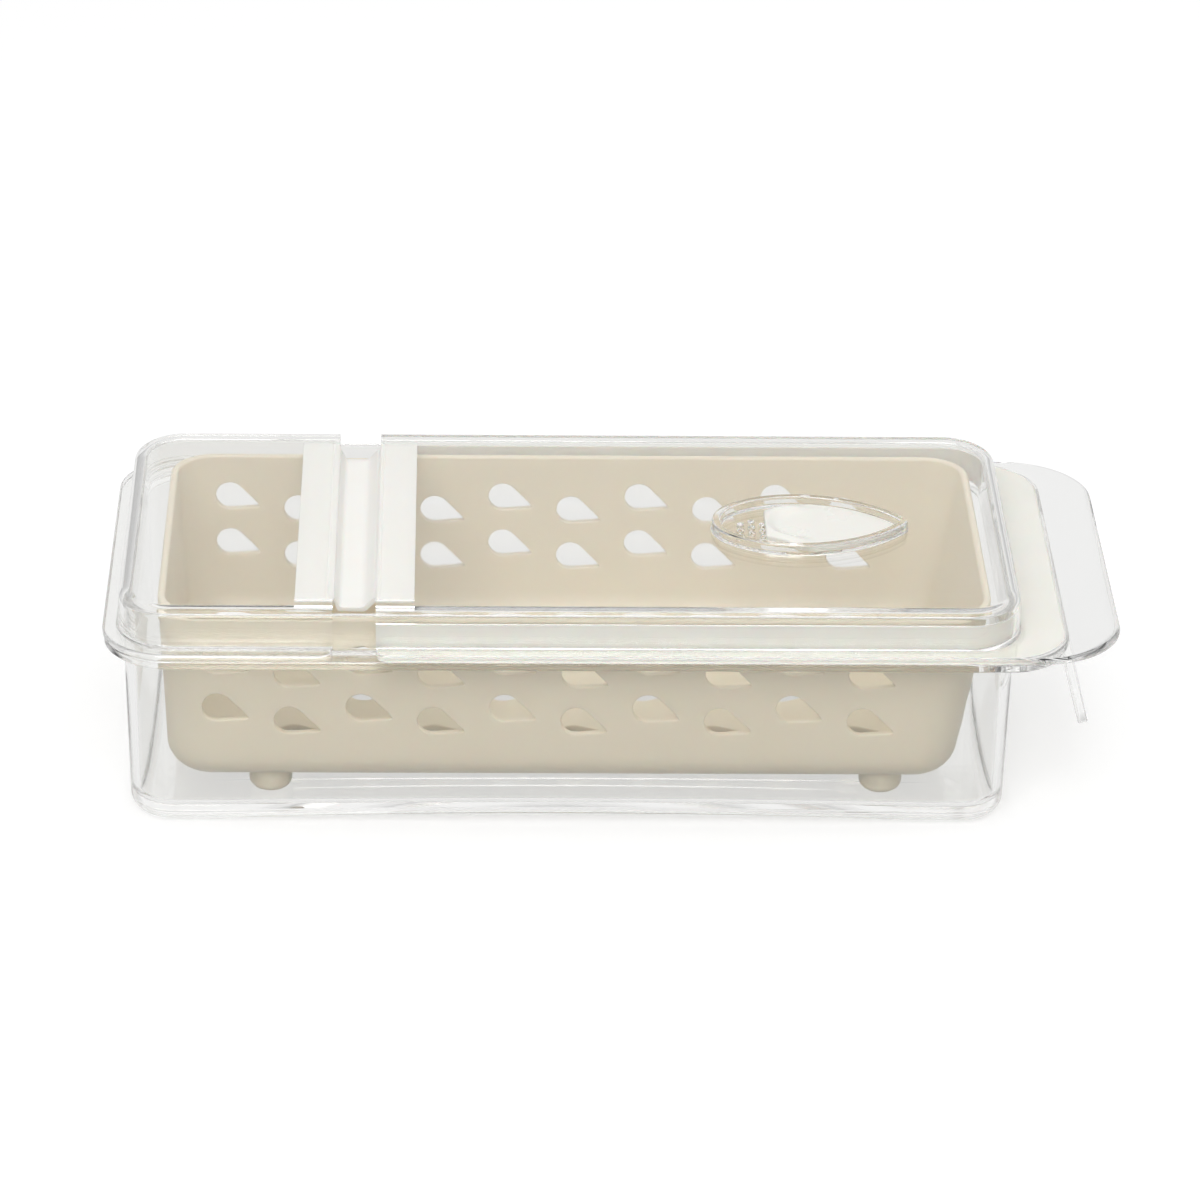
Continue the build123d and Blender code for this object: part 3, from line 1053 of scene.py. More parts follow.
    def side_face(self, side: int, inset: float) -> Face:
        """A long wall's face as a function of (place along, height)."""

        def face(places: Array) -> Array:
            """Points of the face at the places."""
            rows = self.rows(places[:, 1], inset)
            across = long_side(rows, places[:, :1])[:, 0]
            return np.stack([places[:, 0], side * across, places[:, 1]], axis=-1)

        return face

    def floor_face(self, height: float) -> Face:
        """The floor's face at a height as a function of (place along, place across)."""

        def face(places: Array) -> Array:
            """Points of the face at the places."""
            return np.concatenate([places, np.full((len(places), 1), height)], axis=1)

        return face

    def walls(self, shell: Shell) -> None:
        """Adds the walls, with a droplet cell wherever the wall's own quads are left out."""
        chain = self.chain()
        lattice = self.lattice
        points = wall_points(chain, lattice)
        under, floor = chain[0, 5], chain[-1, 5]
        level = (chain[:-1, 5] + chain[1:, 5]) / 2
        in_rows = (level > self.levels[0]) & (level < self.levels[-1])
        column = np.arange(lattice.columns)
        front = column < len(lattice.long_lines) - 1
        back_start = len(lattice.long_lines) + 2 * lattice.corner_steps + len(lattice.end_lines)
        back = (column >= back_start) & (column < back_start + len(lattice.long_lines) - 1)
        shell.patch(points, closed=True, keep=~(in_rows[:, None] & (front | back)))
        for height, ring in ((under, points[0]), (floor, points[-1])):
            rim = block_rim(lattice, height)
            shell.patch(np.array([ring, (ring + rim) / 2, rim]), closed=True)
        for side in (-1, 1):
            faces = [self.side_face(side, inset) for inset in (0.0, self.wall)]
            for column_number, (left, right) in enumerate(zip(self.cells, self.cells[1:])):
                for row, (low, high) in enumerate(zip(self.levels, self.levels[1:])):
                    drop = self.bottom + self.drop_row_height + row * self.drop_row_pitch
                    drop -= (column_number % 2) * self.drop_stagger
                    centre = np.array([self.first_drop + column_number * self.drop_pitch, drop])
                    x, z = lines((left, right, self.spans_long)), lines((low, high, self.spans_high))
                    shell.patch(self.drop_cell(x, z, centre, self.drop_tilt, faces), closed=True)

    def floor_cells(self, shell: Shell) -> None:
        """Adds the floor: plain under the first column, and a droplet in each other cell."""
        heights = (self.bottom, self.bottom + self.wall)
        faces = [self.floor_face(height) for height in heights]
        for column, (left, right) in enumerate(zip(self.cells, self.cells[1:])):
            x = lines((left, right, self.spans_long))
            for low, high in zip(self.floor_levels, self.floor_levels[1:]):
                y = lines((low, high, self.spans_long))
                if column == 0:
                    for height in heights:
                        shell.patch(flat_block(x, y, height))
                    continue
                centre = np.array([self.first_drop + column * self.drop_pitch, (low + high) / 2])
                shell.patch(self.drop_cell(x, y, centre, 0.0, faces), closed=True)

    def foot(self, x: float, y: float) -> bpy.types.Mesh:
        """Round foot: a turned post with a rounded sole, sunk a little into the floor.

        Formula: a profile of radius and height, turned about its own upright axis.
        """
        radius = self.foot_diameter / 2
        base = self.bottom - self.foot_height
        turn = np.radians(np.linspace(-90, 0, 9))
        inner = radius - self.foot_round
        profile = [(inner * share, base) for share in self.sole_shares]
        profile += [
            (inner + self.foot_round * math.cos(t), base + self.foot_round * (1 + math.sin(t))) for t in turn
        ]
        top = self.bottom + self.wall / 2
        profile += [(radius, self.bottom - self.foot_hold), (radius, top), (0.0, top)]
        reach, height = np.array(profile).T
        angle = np.linspace(0, 2 * math.pi, 56, endpoint=False)
        points = np.stack(
            [
                x + reach[:, None] * np.cos(angle),
                y + reach[:, None] * np.sin(angle),
                np.broadcast_to(height[:, None], (len(reach), len(angle))),
            ],
            axis=-1,
        )
        shell = Shell()
        shell.patch(points, closed=True)
        return shell.mesh("foot")

    def build(self, material: bpy.types.Material) -> bpy.types.Object:
        """Makes the basket as one moulding and puts it on its body."""
        shell = Shell()
        self.walls(shell)
        self.floor_cells(shell)
        piece = make_object(shell.mesh("basket_shell"), "droplet_basket")
        side = self.high[1] - self.foot_inset_side
        feet = [
            self.foot(x, y)
            for x in (self.low[0] + self.foot_inset_left, self.high[0] - self.foot_inset_right)
            for y in (-side, side)
        ]
        combine(piece, feet, Combine.JOIN)
        dress(piece, material, "basket", "basket_white", "colander_basket")
        return piece


@dataclass
class Lid:
    """Clear lid in two panels, each a domed U with a flange, cut square at the hinge slot."""

    bin: BaseBin
    clearance: float = 0.6
    wall: float = 1.8
    plate: float = 2.0
    draft: float = 2.0
    top_round: float = 5.4
    inner_round: float = 2.2
    flange_thickness: float = 2.0
    flange_rounds: tuple[float, float] = (20.0, 23.0)
    flange_root: float = 0.8
    flange_edge: float = 0.7
    mouth_edge: float = 0.3
    slot_corner: float = 4.0
    gasket_bond: float = 0.02
    gasket_depth: float = 0.9
    gasket_leg: float = 0.8
    gasket_leg_height: float = 9.0
    gasket_clearance: float = 0.15
    gasket_rounds: tuple[float, float] = (20.0, 16.8)
    strip_clearance: float = 0.05
    strip_rebate: float = 0.7
    block_margin: float = 0.3
    rebate_hold: float = 0.5
    reach_margin: float = 1.2
    bend_margin: float = 10.0
    end_margin: float = 6.0
    end_band: float = 5.0
    vent_half: float = 14.8
    vent_tail: float = 22.0
    vent_nose: float = 30.3
    vent_tail_round: float = 11.0
    vent_tip: float = 0.8
    vent_wall: float = 2.4
    vent_run: float = 2.0
    vent_floor_run: float = 1.0
    vent_rounds: tuple[float, ...] = (0.5, 0.6, 0.6, 0.35)
    vent_margin: float = 3.0
    vent_nose_margin: float = 1.5
    vent_from_right: float = 61.0
    vent_offset: float = 6.0
    vent_hole: float = 2.2
    vent_hole_pitch: float = 3.7
    vent_hole_setback: float = 9.2
    vent_hole_columns: int = 3
    vent_hole_rows: int = 3
    cut_overlap: float = 0.5
    guide_width: float = 4.2
    guide_play: float = 0.2
    neck_length: float = 6.0
    neck_setback: float = 18.0
    travel: float = 9.0

    def __post_init__(self) -> None:
        """Reads the panels' outlines, the slot and the vent's height from the frame."""
        short_low, short_high = node_box("short_lid")
        long_low, long_high = node_box("flip_lid")
        strip_low, strip_high = node_box("hinge_strip")
        gasket_low, gasket_high = node_box("lid_gasket")
        slide_low, _ = node_box("vent_slide")
        self.left, self.right, self.half = short_low[0], long_high[0], long_high[1]
        self.cuts = {Panel.SHORT: short_high[0], Panel.LONG: long_low[0]}
        self.under, self.top = short_low[2], short_high[2]
        self.flange_top = self.under + self.flange_thickness
        self.ceiling = self.top - self.plate
        self.vent_top = long_high[2]
        self.strip_ends = (strip_low[0], strip_high[0])
        self.strip_half = strip_high[1]
        self.gasket_right, self.gasket_half = gasket_high[0], gasket_high[1]
        self.vent_x = self.bin.middle + self.bin.length / 2 - self.vent_from_right
        self.vent_y = -self.vent_offset
        self.neck_x = slide_low[0] + self.neck_setback
        self.vent = vent_outline(
            self.vent_half, self.vent_tail, self.vent_nose, self.vent_tail_round, self.vent_tip
        )

    def dome(self, outward: float, height: float) -> Ring:
        """Ring of the dome: the collar's outline let out, and drawn in by the draft at a height."""
        fall = (height - self.under) * math.tan(math.radians(self.draft))
        return self.bin.ring(self.bin.collar_step - outward + fall, height)

    def gasket_ring(self, outward: float, height: float) -> Ring:
        """Ring of the gasket's outer edge, let out by an amount."""
        right, half = self.gasket_right + outward, self.gasket_half + outward
        return Ring(self.left, right, half, *self.gasket_rounds, height)

    def block(self) -> Ring:
        """Ring round the plate's flat part."""
        return self.dome(self.clearance + self.wall - self.top_round - self.block_margin, self.top)

    def rebate(self, panel: Panel) -> tuple[float, float, float]:
        """End, half width and height of the step for the strip's flank under the plate."""
        gap = self.strip_clearance
        end = self.strip_ends[0] - gap if panel is Panel.SHORT else self.strip_ends[1] + gap
        return end, self.strip_half + gap, self.ceiling + self.strip_rebate + gap

    def rings(self, panel: Panel) -> tuple[list[Ring], list[float]]:
        """Corners of a panel's chain, from the plate over the flange to the ceiling.

        Args:
            panel: the long panel's underside has the gasket's step in it.

        Returns:
            The rings, and a radius for each one between the ends.
        """
        outer, inner = self.clearance + self.wall, self.clearance
        flange = Ring(self.left, self.right, self.half, *self.flange_rounds, self.flange_top)
        block = self.block()
        chain = [
            (block, 0.0),
            (self.dome(outer, self.top), self.top_round),
            (self.dome(outer, self.flange_top), self.flange_root),
            (flange, self.flange_edge),
            (flange.inset(0, self.under), self.flange_edge),
        ]
        if panel is Panel.LONG:
            bond = self.gasket_bond
            step = self.under + self.gasket_depth + bond
            leg_top = self.under + self.gasket_leg_height + bond
            leg = self.gasket_clearance + self.gasket_leg + bond
            collar = self.bin.collar_step
            chain += [
                (self.gasket_ring(bond, self.under), 0.0),
                (self.gasket_ring(bond, step), 0.0),
                (self.bin.ring(collar - leg, step), 0.0),
                (self.bin.ring(collar - leg, leg_top), 0.0),
                (self.dome(inner, leg_top), 0.0),
            ]
        else:
            chain.append((self.dome(inner, self.under), self.mouth_edge))
        chain += [(self.dome(inner, self.ceiling), self.inner_round), (block.inset(0, self.ceiling), 0.0)]
        return [ring for ring, _ in chain], [radius for _, radius in chain[1:-1]]

    def round_ends(self, points: Array, cut: float) -> Array:
        """Rounds the flange's outer corners beside the slot.

        Formula: past the dome's foot, a point's share of the way out is kept, and the way itself
        ends on a quarter circle that meets the cut.
        """
        root = self.dome(self.clearance + self.wall, self.under).half
        outer = np.abs(points[:, :1, 1])
        near = np.clip(self.slot_corner - np.abs(points[..., 0] - cut), 0, self.slot_corner)
        limit = outer - self.slot_corner + np.sqrt(self.slot_corner**2 - near**2)
        across = np.abs(points[..., 1])
        beyond = (across > root) & (outer > root + 1)
        scaled = root + (across - root) * (limit - root) / np.maximum(outer - root, 1)
        rounded = points.copy()
        rounded[..., 1] = np.sign(points[..., 1]) * np.where(beyond, scaled, across)
        return rounded

    def lattice(self, panel: Panel) -> Lattice:
        """Lines of a panel: close beside the slot, and round the vent on the long one."""
        cut = self.cuts[panel]
        near = self.slot_corner * (1 - np.cos(np.radians([0, 25, 37, 48, 60, 75, 90])))
        block = self.block()
        reach, bend = block.half - self.reach_margin, block.half - self.bend_margin
        end, side, _ = self.rebate(panel)
        hold, band = self.rebate_hold, self.end_band
        sides = lines((-reach, -side, 1), (-side, -bend, 7)), lines((bend, side, 7), (side, reach, 1))
        if panel is Panel.SHORT:
            far, start = block.left + self.end_margin, cut - self.slot_corner
            near_end = end - hold
            runs = lines((far, far + band, 5), (far + band, near_end, 8), (near_end, end, 1), (end, start, 2))
            y_lines = np.concatenate([sides[0], lines((-bend, bend, 14)), sides[1]])
            return Lattice(np.unique(np.concatenate([cut - near, runs])), np.unique(y_lines), 16)
        far, start = block.right - self.end_margin, cut + self.slot_corner
        tail, nose = self.vent_cell_x()
        runs = lines(
            (start, end, 2), (end, end + hold, 1), (end + hold, tail, 14), (tail, nose, 30),
            (nose, far - band, 4), (far - band, far, 5),
        )
        low, high = self.vent_cell_y()
        middle = lines((-bend, low, 4), (low, high, 20), (high, bend, 7))
        y_lines = np.concatenate([sides[0], middle, sides[1]])
        long_lines = np.unique(np.round(np.concatenate([cut + near, runs]), 9))
        return Lattice(long_lines, np.unique(np.round(y_lines, 9)), 16)

    def vent_cell_x(self) -> tuple[float, float]:
        """Ends of the plate's cell that holds the vent ring."""
        margin = self.vent_wall + self.vent_margin
        nose = self.vent_x + self.vent_nose + margin + self.vent_nose_margin
        return self.vent_x - self.vent_tail - margin, nose

    def vent_cell_y(self) -> tuple[float, float]:
        """Sides of the plate's cell that holds the vent ring."""
        margin = self.vent_half + self.vent_wall + self.vent_margin
        return self.vent_y - margin, self.vent_y + margin

    def vent_ring(self) -> Array:
        """Cell of the plate with the vent ring standing on it.

        Formula: the cell's edge draws in to the ring's foot, the ring's section turns up, over
        and down its round edges, and the floor inside runs in to its middle.
        """
        x_lines, y_lines = lines((*self.vent_cell_x(), 30)), lines((*self.vent_cell_y(), 20))
        centre = np.array([self.vent_x, self.vent_y])
        rim = cell_rim(x_lines, y_lines)
        about = rim - centre
        foot, wall, head = self.top, self.vent_wall, self.vent_top
        section = [
            (wall + self.vent_run, foot), (wall, foot), (wall, head),
            (0.0, head), (0.0, foot), (-self.vent_floor_run, foot),
        ]
        rows = rounded_section(section, self.vent_rounds, 5, 0.12)
        rings = [(rim, self.top)]
        rings += [(self.vent.toward(about, grown) + centre, height) for grown, height in rows]
        inner, _ = rings[-1]
        middle = centre + (self.vent.middle, 0)
        rings += [(inner + (middle - inner) * share, self.top) for share in (0.25, 0.5, 0.75, 1.0)]
        return np.array([np.column_stack([flat, np.full(len(flat), height)]) for flat, height in rings])

    def vent_cuts(self) -> list[bpy.types.Mesh]:
        """Small round vent holes in a staggered block, and the guide slot under the slide."""
        depth = (self.ceiling - self.cut_overlap, self.top + self.cut_overlap)
        radius = self.vent_hole / 2
        cuts = []
        middle_x = self.vent_x - self.vent_tail + self.vent_hole_setback
        middle_column, middle_row = (self.vent_hole_columns - 1) / 2, (self.vent_hole_rows - 1) / 2
        for column in range(self.vent_hole_columns):
            for row in range(self.vent_hole_rows):
                x = middle_x + (column - middle_column) * self.vent_hole_pitch * math.sqrt(0.75)
                stagger = (column % 2) / 2 - 0.25
                y = self.vent_y + (row - middle_row + stagger) * self.vent_hole_pitch
                cuts.append(self.stadium(x, y, 2 * radius, radius, depth))
        centre = self.neck_x - self.travel / 2
        reach = self.neck_length + self.travel + 2 * self.guide_play
        cuts.append(self.stadium(centre, self.vent_y, reach, self.guide_width / 2, depth))
        return cuts

    @staticmethod
    def stadium(
        x: float, y: float, length: float, radius: float, depth: tuple[float, float]
    ) -> bpy.types.Mesh:
        """Upright round-ended post.

        Formula: a circle, each half of which is moved out by half of what the length is past
        the circle's width.
        """
        angle = np.linspace(0, 2 * math.pi, 40, endpoint=False) + math.pi / 40
        shift = np.sign(np.cos(angle)) * (length / 2 - radius)
        flat_x, flat_y = x + shift + radius * np.cos(angle), y + radius * np.sin(angle)
        outline = [np.stack([flat_x, flat_y, np.full_like(angle, height)], axis=-1) for height in depth]
        shell = Shell()
        shell.patch(np.array(outline), closed=True)
        return shell.mesh("post")

    def panel_shell(self, panel: Panel) -> Shell:
        """Dome, flange and plate of one panel, open at its cut."""
        lattice = self.lattice(panel)
        columns = lattice.panel_columns(panel)
        rows = soften(*self.rings(panel), steps=7)
        wall = self.round_ends(wall_points(rows, lattice), self.cuts[panel])[:, columns]
        shell = Shell()
        shell.patch(wall)
        for height, ring in ((self.top, wall[0]), (self.ceiling, wall[-1])):
            rim = block_rim(lattice, height)[columns]
            shell.patch(np.array([ring, (ring + rim) / 2, rim]))
        x, y = lattice.long_lines, lattice.end_lines
        mid_x, mid_y = (x[:-1] + x[1:]) / 2, (y[:-1] + y[1:]) / 2
        end, side, raised = self.rebate(panel)
        stepped_x = mid_x > end if panel is Panel.SHORT else mid_x < end
        stepped = (np.abs(mid_y) < side)[:, None] & stepped_x
        shell.patch(flat_block(x, y, self.ceiling), keep=~stepped)
        shell.patch(flat_block(x, y, raised), keep=stepped)
        low_edge, high_edge = (flat_block(x, y, height) for height in (self.ceiling, raised))
        for line in (np.argmin(np.abs(y - side)), np.argmin(np.abs(y + side))):
            shell.patch(np.array([low_edge[line], high_edge[line]]), keep=stepped_x[None])
        line = np.argmin(np.abs(x - end))
        shell.patch(np.array([low_edge[:, line], high_edge[:, line]]), keep=(np.abs(mid_y) < side)[None])
        keep = np.ones((len(y) - 1, len(x) - 1), dtype=bool)
        if panel is Panel.LONG:
            (tail, nose), (low, high) = self.vent_cell_x(), self.vent_cell_y()
            inside_x, inside_y = (mid_x > tail) & (mid_x < nose), (mid_y > low) & (mid_y < high)
            keep = ~(inside_y[:, None] & inside_x)
            shell.patch(self.vent_ring(), closed=True)
        shell.patch(flat_block(x, y, self.top), keep=keep)
        return shell

    def build(self, panel: Panel, material: bpy.types.Material) -> bpy.types.Object:
        """Makes one panel and puts it on its body."""
        name = f"{panel.value}_panel"
        piece = make_object(self.panel_shell(panel).mesh(name), name)
        if panel is Panel.LONG:
            combine(piece, self.vent_cuts(), Combine.CUT)
        body, node = ("lid", "short_lid") if panel is Panel.SHORT else ("flap", "flip_lid")
        dress(piece, material, body, "clear_lid", node)
        return piece


@dataclass
class Gasket:
    """Soft gasket under the long panel's flange, with a leg up inside its wall."""

    lid: Lid
    ease: float = 0.25
    bore_edge: float = 0.1

    def build(self, material: bpy.types.Material) -> bpy.types.Object:
        """Makes the gasket as a U of one section, closed at its two ends."""
        lid, collar = self.lid, self.lid.bin.collar_step
        low, step = lid.under, lid.under + lid.gasket_depth
        leg_top = lid.under + lid.gasket_leg_height
        bore = lid.bin.ring(collar - lid.gasket_clearance, low)
        leg = lid.bin.ring(collar - lid.gasket_clearance - lid.gasket_leg, step)
        edge = lid.gasket_ring(0.0, low)
        start = Ring(*((edge.row() + bore.row()) / 2))
        section = [
            start,
            edge,
            edge.inset(0, step),
            leg,
            leg.inset(0, leg_top),
            bore.inset(0, leg_top),
            bore,
            start,
        ]
        ease = self.ease
        rows = soften(section, [ease, ease, 0.0, ease, ease, self.bore_edge], 3, 0.08)
        lattice = lid.lattice(Panel.LONG)
        columns = lattice.panel_columns(Panel.LONG)
        points = lid.round_ends(wall_points(rows, lattice), lid.cuts[Panel.LONG])[:, columns]
        shell = Shell()
        shell.patch(points)
        piece = make_object(shell.mesh("soft_gasket"), "soft_gasket")
        dress(piece, material, "flap", "gasket_white", "lid_gasket")
        return piece


@dataclass
class HingeStrip:
    """Soft strip: a flank under each panel and a rounded trough that hangs in the slot."""

    lid: Lid
    thickness: float = 1.4
    trough_depth: float = 3.1
    trough_length: float = 97.4
    trough_wall: float = 1.3
    shelves: tuple[float, float] = (0.4, 0.9)
    slopes: tuple[float, float] = (1.5, 2.8)
    grooves: tuple[float, float] = (1.8, 0.9)
    groove_half: float = 0.5
    groove_depth: float = 0.25
    groove_round: float = 0.3
    upper_rounds: tuple[float, ...] = (0.6, 1.2, 2.4, 0.9)
    lower_rounds: tuple[float, ...] = (0.3, 1.2, 1.8, 0.3)
    lead_run: float = 0.3
    lead_drop: float = 0.1
    ease: float = 0.25
    spans: int = 48

    def profile(self, points: list[tuple[float, float]], rounds: tuple[float, ...]) -> Array:
        """Chain across the strip with rounded corners.

        Args:
            points: corners of the chain, as (place along, height).
            rounds: radii at the trough's four corners.

        Returns:
            Rows of (place along, height).
        """
        groove = [self.groove_round] * 3
        return rounded_section(points, [*groove, 0.0, *rounds, 0.0, *groove], 6, 0.15)

    def build(self, material: bpy.types.Material) -> bpy.types.Object:
        """Makes the strip that lies between the two panels' bodies.

        Formula: an upper and a lower chain across the strip are joined along it and at both
        ends. The trough's part of the chains is shorter along the strip than the flanks' part.
        """
        low, high = node_box("hinge_strip")
        left, right = self.lid.cuts[Panel.SHORT], self.lid.cuts[Panel.LONG]
        top, under = high[2], high[2] - self.thickness
        floor, base = top - self.trough_depth, top - self.trough_depth - self.trough_wall
        wall, half, sunk = self.trough_wall, self.groove_half, top - self.groove_depth
        near, far = left + self.shelves[0], right - self.shelves[1]
        near_foot, far_foot = near + self.slopes[0], far - self.slopes[1]
        grooves = [
            [(place - half, top), (place, sunk), (place + half, top)]
            for place in (left - self.grooves[0], right + self.grooves[1])
        ]
        trough = [(left, top), (near, top), (near_foot, floor), (far_foot, floor), (far, top), (right, top)]
        chain = [(low[0], top), *grooves[0], *trough, *grooves[1], (high[0], top)]
        upper = self.profile(chain, self.upper_rounds)
        under_groove = [[(place, under) for place, _ in groove] for groove in grooves]
        lead, led = self.lead_run, under - self.lead_drop
        below = [
            (left, under), (left + lead, led), (near_foot - wall / 2, base),
            (far_foot + wall / 2, base), (right - lead, led), (right, under),
        ]
        chain = [(low[0], under), *under_groove[0], *below, *under_groove[1], (high[0], under)]
        lower = self.profile(chain, self.lower_rounds)
        in_trough = (upper[:, 0] > left + 1e-6) & (upper[:, 0] < right - 1e-6)
        reach = np.where(in_trough, self.trough_length / 2, high[1])
        along = np.linspace(-1, 1, self.spans + 1)[:, None]
        shell = Shell()
        for chain in (upper, lower):
            x, z = (np.broadcast_to(chain[:, i], (len(along), len(chain))) for i in (0, 1))
            shell.patch(np.stack([x, along * reach, z], axis=-1))
        for side in (-1, 1):
            ends = [np.stack([chain[:, 0], side * reach, chain[:, 1]], axis=-1) for chain in (upper, lower)]
            shell.patch(np.array(ends))
        for column in (0, -1):
            across = along[:, 0] * reach[column]
            edge = [
                np.stack([np.full_like(across, x), across, np.full_like(across, z)], axis=-1)
                for x, z in (upper[column], lower[column])
            ]
            shell.patch(np.array(edge))
        piece = make_object(shell.mesh("folding_strip"), "folding_strip")
        ease_edges(piece, self.ease)
        dress(piece, material, "", "soft_white", "hinge_strip")
        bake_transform(piece)
        return piece


@dataclass
class VentSlide:
    """White slide in the vent ring, with a thumb scoop, a neck through the lid and a foot."""

    lid: Lid
    clearance: float = 0.3
    sink: float = 0.3
    lift: float = 0.15
    edge: float = 0.4
    edge_hold: float = 0.3
    tip_gap: float = 0.12
    tip_run: float = 1.5
    tip_round: float = 1.2
    plate: float = 0.95
    bank_radius: float = 10.4
    bank_setback: float = 10.4
    bank_widths: tuple[float, float] = (2.2, 3.0)
    bank_turns: tuple[float, float] = (65.0, 115.0)
    foot_width: float = 8.0
    foot_length: float = 11.0
    foot_thickness: float = 1.0
    foot_corners: tuple[float, float] = (1.0, 1.0)
    foot_gap: float = 0.25
    foot_ease: float = 0.2
    neck_overlap: float = 0.2

    def half_width(self, x: Array) -> Array:
        """Half width of the slide at places along it.

        Formula: the vent outline drawn in by the clearance, and the same outline moved by the
        travel, whichever is narrower, so that the slide fits the ring at both ends of its way.
        """
        outline = self.lid.vent.outline(-self.clearance)
        upper = outline[outline[:, 1] >= 0]
        order = np.argsort(upper[:, 0])
        along, across = upper[order, 0] + self.lid.vent_x, upper[order, 1]
        here = np.interp(x, along, across, left=0, right=0)
        moved = np.interp(x - self.lid.travel, along, across, left=0, right=0)
        return np.minimum(here, moved)

    def build(self, material: bpy.types.Material) -> bpy.types.Object:
        """Makes the slide and puts it on its body.

        Formula: the top is a height over a grid that follows the outline. It falls by a quarter
        circle near the edge. The bank is a bell curve over the distance from a circle round the
        thumb bowl, and it fades out along that circle where the bowl opens to the plate.
        """
        lid = self.lid
        low, _ = node_box("vent_slide")
        top, floor = lid.vent_top - self.sink, lid.top + self.lift
        tip = lid.vent_x + lid.vent_nose - self.clearance - self.tip_gap
        turn = np.radians(np.linspace(0, 90, 6))
        band = self.edge * (1 - np.cos(turn))
        body = lines((low[0] + self.edge + self.edge_hold, tip - self.tip_run, 90))
        x = np.concatenate([low[0] + band, body, tip - self.tip_round * np.cos(turn)])
        half = self.half_width(x)[:, None]
        margin = np.minimum(self.edge, half / 2)
        rim = half - margin * (1 - np.cos(turn))
        inner = (half - margin) * np.linspace(1, -1, 62)[1:-1]
        grid_y = np.concatenate([rim, inner, -rim[:, ::-1]], axis=1)
        grid_x = np.broadcast_to(x[:, None], grid_y.shape)
        inward = np.minimum(half - np.abs(grid_y), grid_x - low[0])
        fall = np.clip(self.edge - inward, 0, self.edge)
        bowl_x = low[0] + self.bank_setback
        beside = np.hypot(grid_x - bowl_x, grid_y) - self.bank_radius
        turned = np.degrees(np.arctan2(np.abs(grid_y), bowl_x - grid_x))
        first, last = self.bank_turns
        fade = np.clip((last - turned) / (last - first), 0, 1)
        bank = np.exp(-((beside / np.where(beside < 0, *self.bank_widths)) ** 2)) * fade**2 * (3 - 2 * fade)
        plate_top = floor + self.plate
        height = plate_top + (top - plate_top) * bank - (self.edge - np.sqrt(self.edge**2 - fall**2))
        upper = np.stack([grid_x, lid.vent_y + grid_y, height], axis=-1)
        under = upper.copy()
        under[..., 2] = floor
        shell = Shell()
        shell.patch(upper)
        shell.patch(under)
        for edge in (np.s_[:, 0], np.s_[:, -1], np.s_[0, :], np.s_[-1, :]):
            shell.patch(np.array([upper[edge], under[edge]]))
        piece = make_object(shell.mesh("thumb_slide"), "thumb_slide")
        foot_top = lid.ceiling - self.foot_gap
        neck_round, overlap = lid.guide_width / 2 - lid.guide_play, self.neck_overlap
        depth = (foot_top - overlap, floor + overlap)
        neck = lid.stadium(lid.neck_x, lid.vent_y, lid.neck_length, neck_round, depth)
        half_length = self.foot_length / 2
        place = Matrix.Translation(Vector((lid.neck_x, lid.vent_y, 0)) * MM)
        depth = (foot_top - self.foot_thickness, foot_top)
        ends = (-half_length, half_length)
        plate = slab(ends, self.foot_width / 2, self.foot_corners, depth, self.foot_ease)
        foot = plate.mesh("foot", place)
        combine(piece, [neck, foot], Combine.JOIN)
        dress(piece, material, "slide", "slide_white", "vent_slide")
        return piece


@dataclass(frozen=True)
class Softbox:
    """Square lamp that faces the object, with its place and side in metres and its power in watts."""

    name: str
    place: tuple[float, float, float]
    size: float
    power: float

    def build(self) -> None:
        """Makes the lamp."""
        data = bpy.data.lights.new(self.name, "AREA")
        data.size = self.size
        data.energy = self.power
        lamp = bpy.data.objects.new(self.name, data)
        bpy.context.scene.collection.objects.link(lamp)
        turn = Vector(self.place).normalized().to_track_quat("Z", "Y").to_matrix().to_4x4()
        lamp.matrix_world = Matrix.Translation(self.place) @ turn


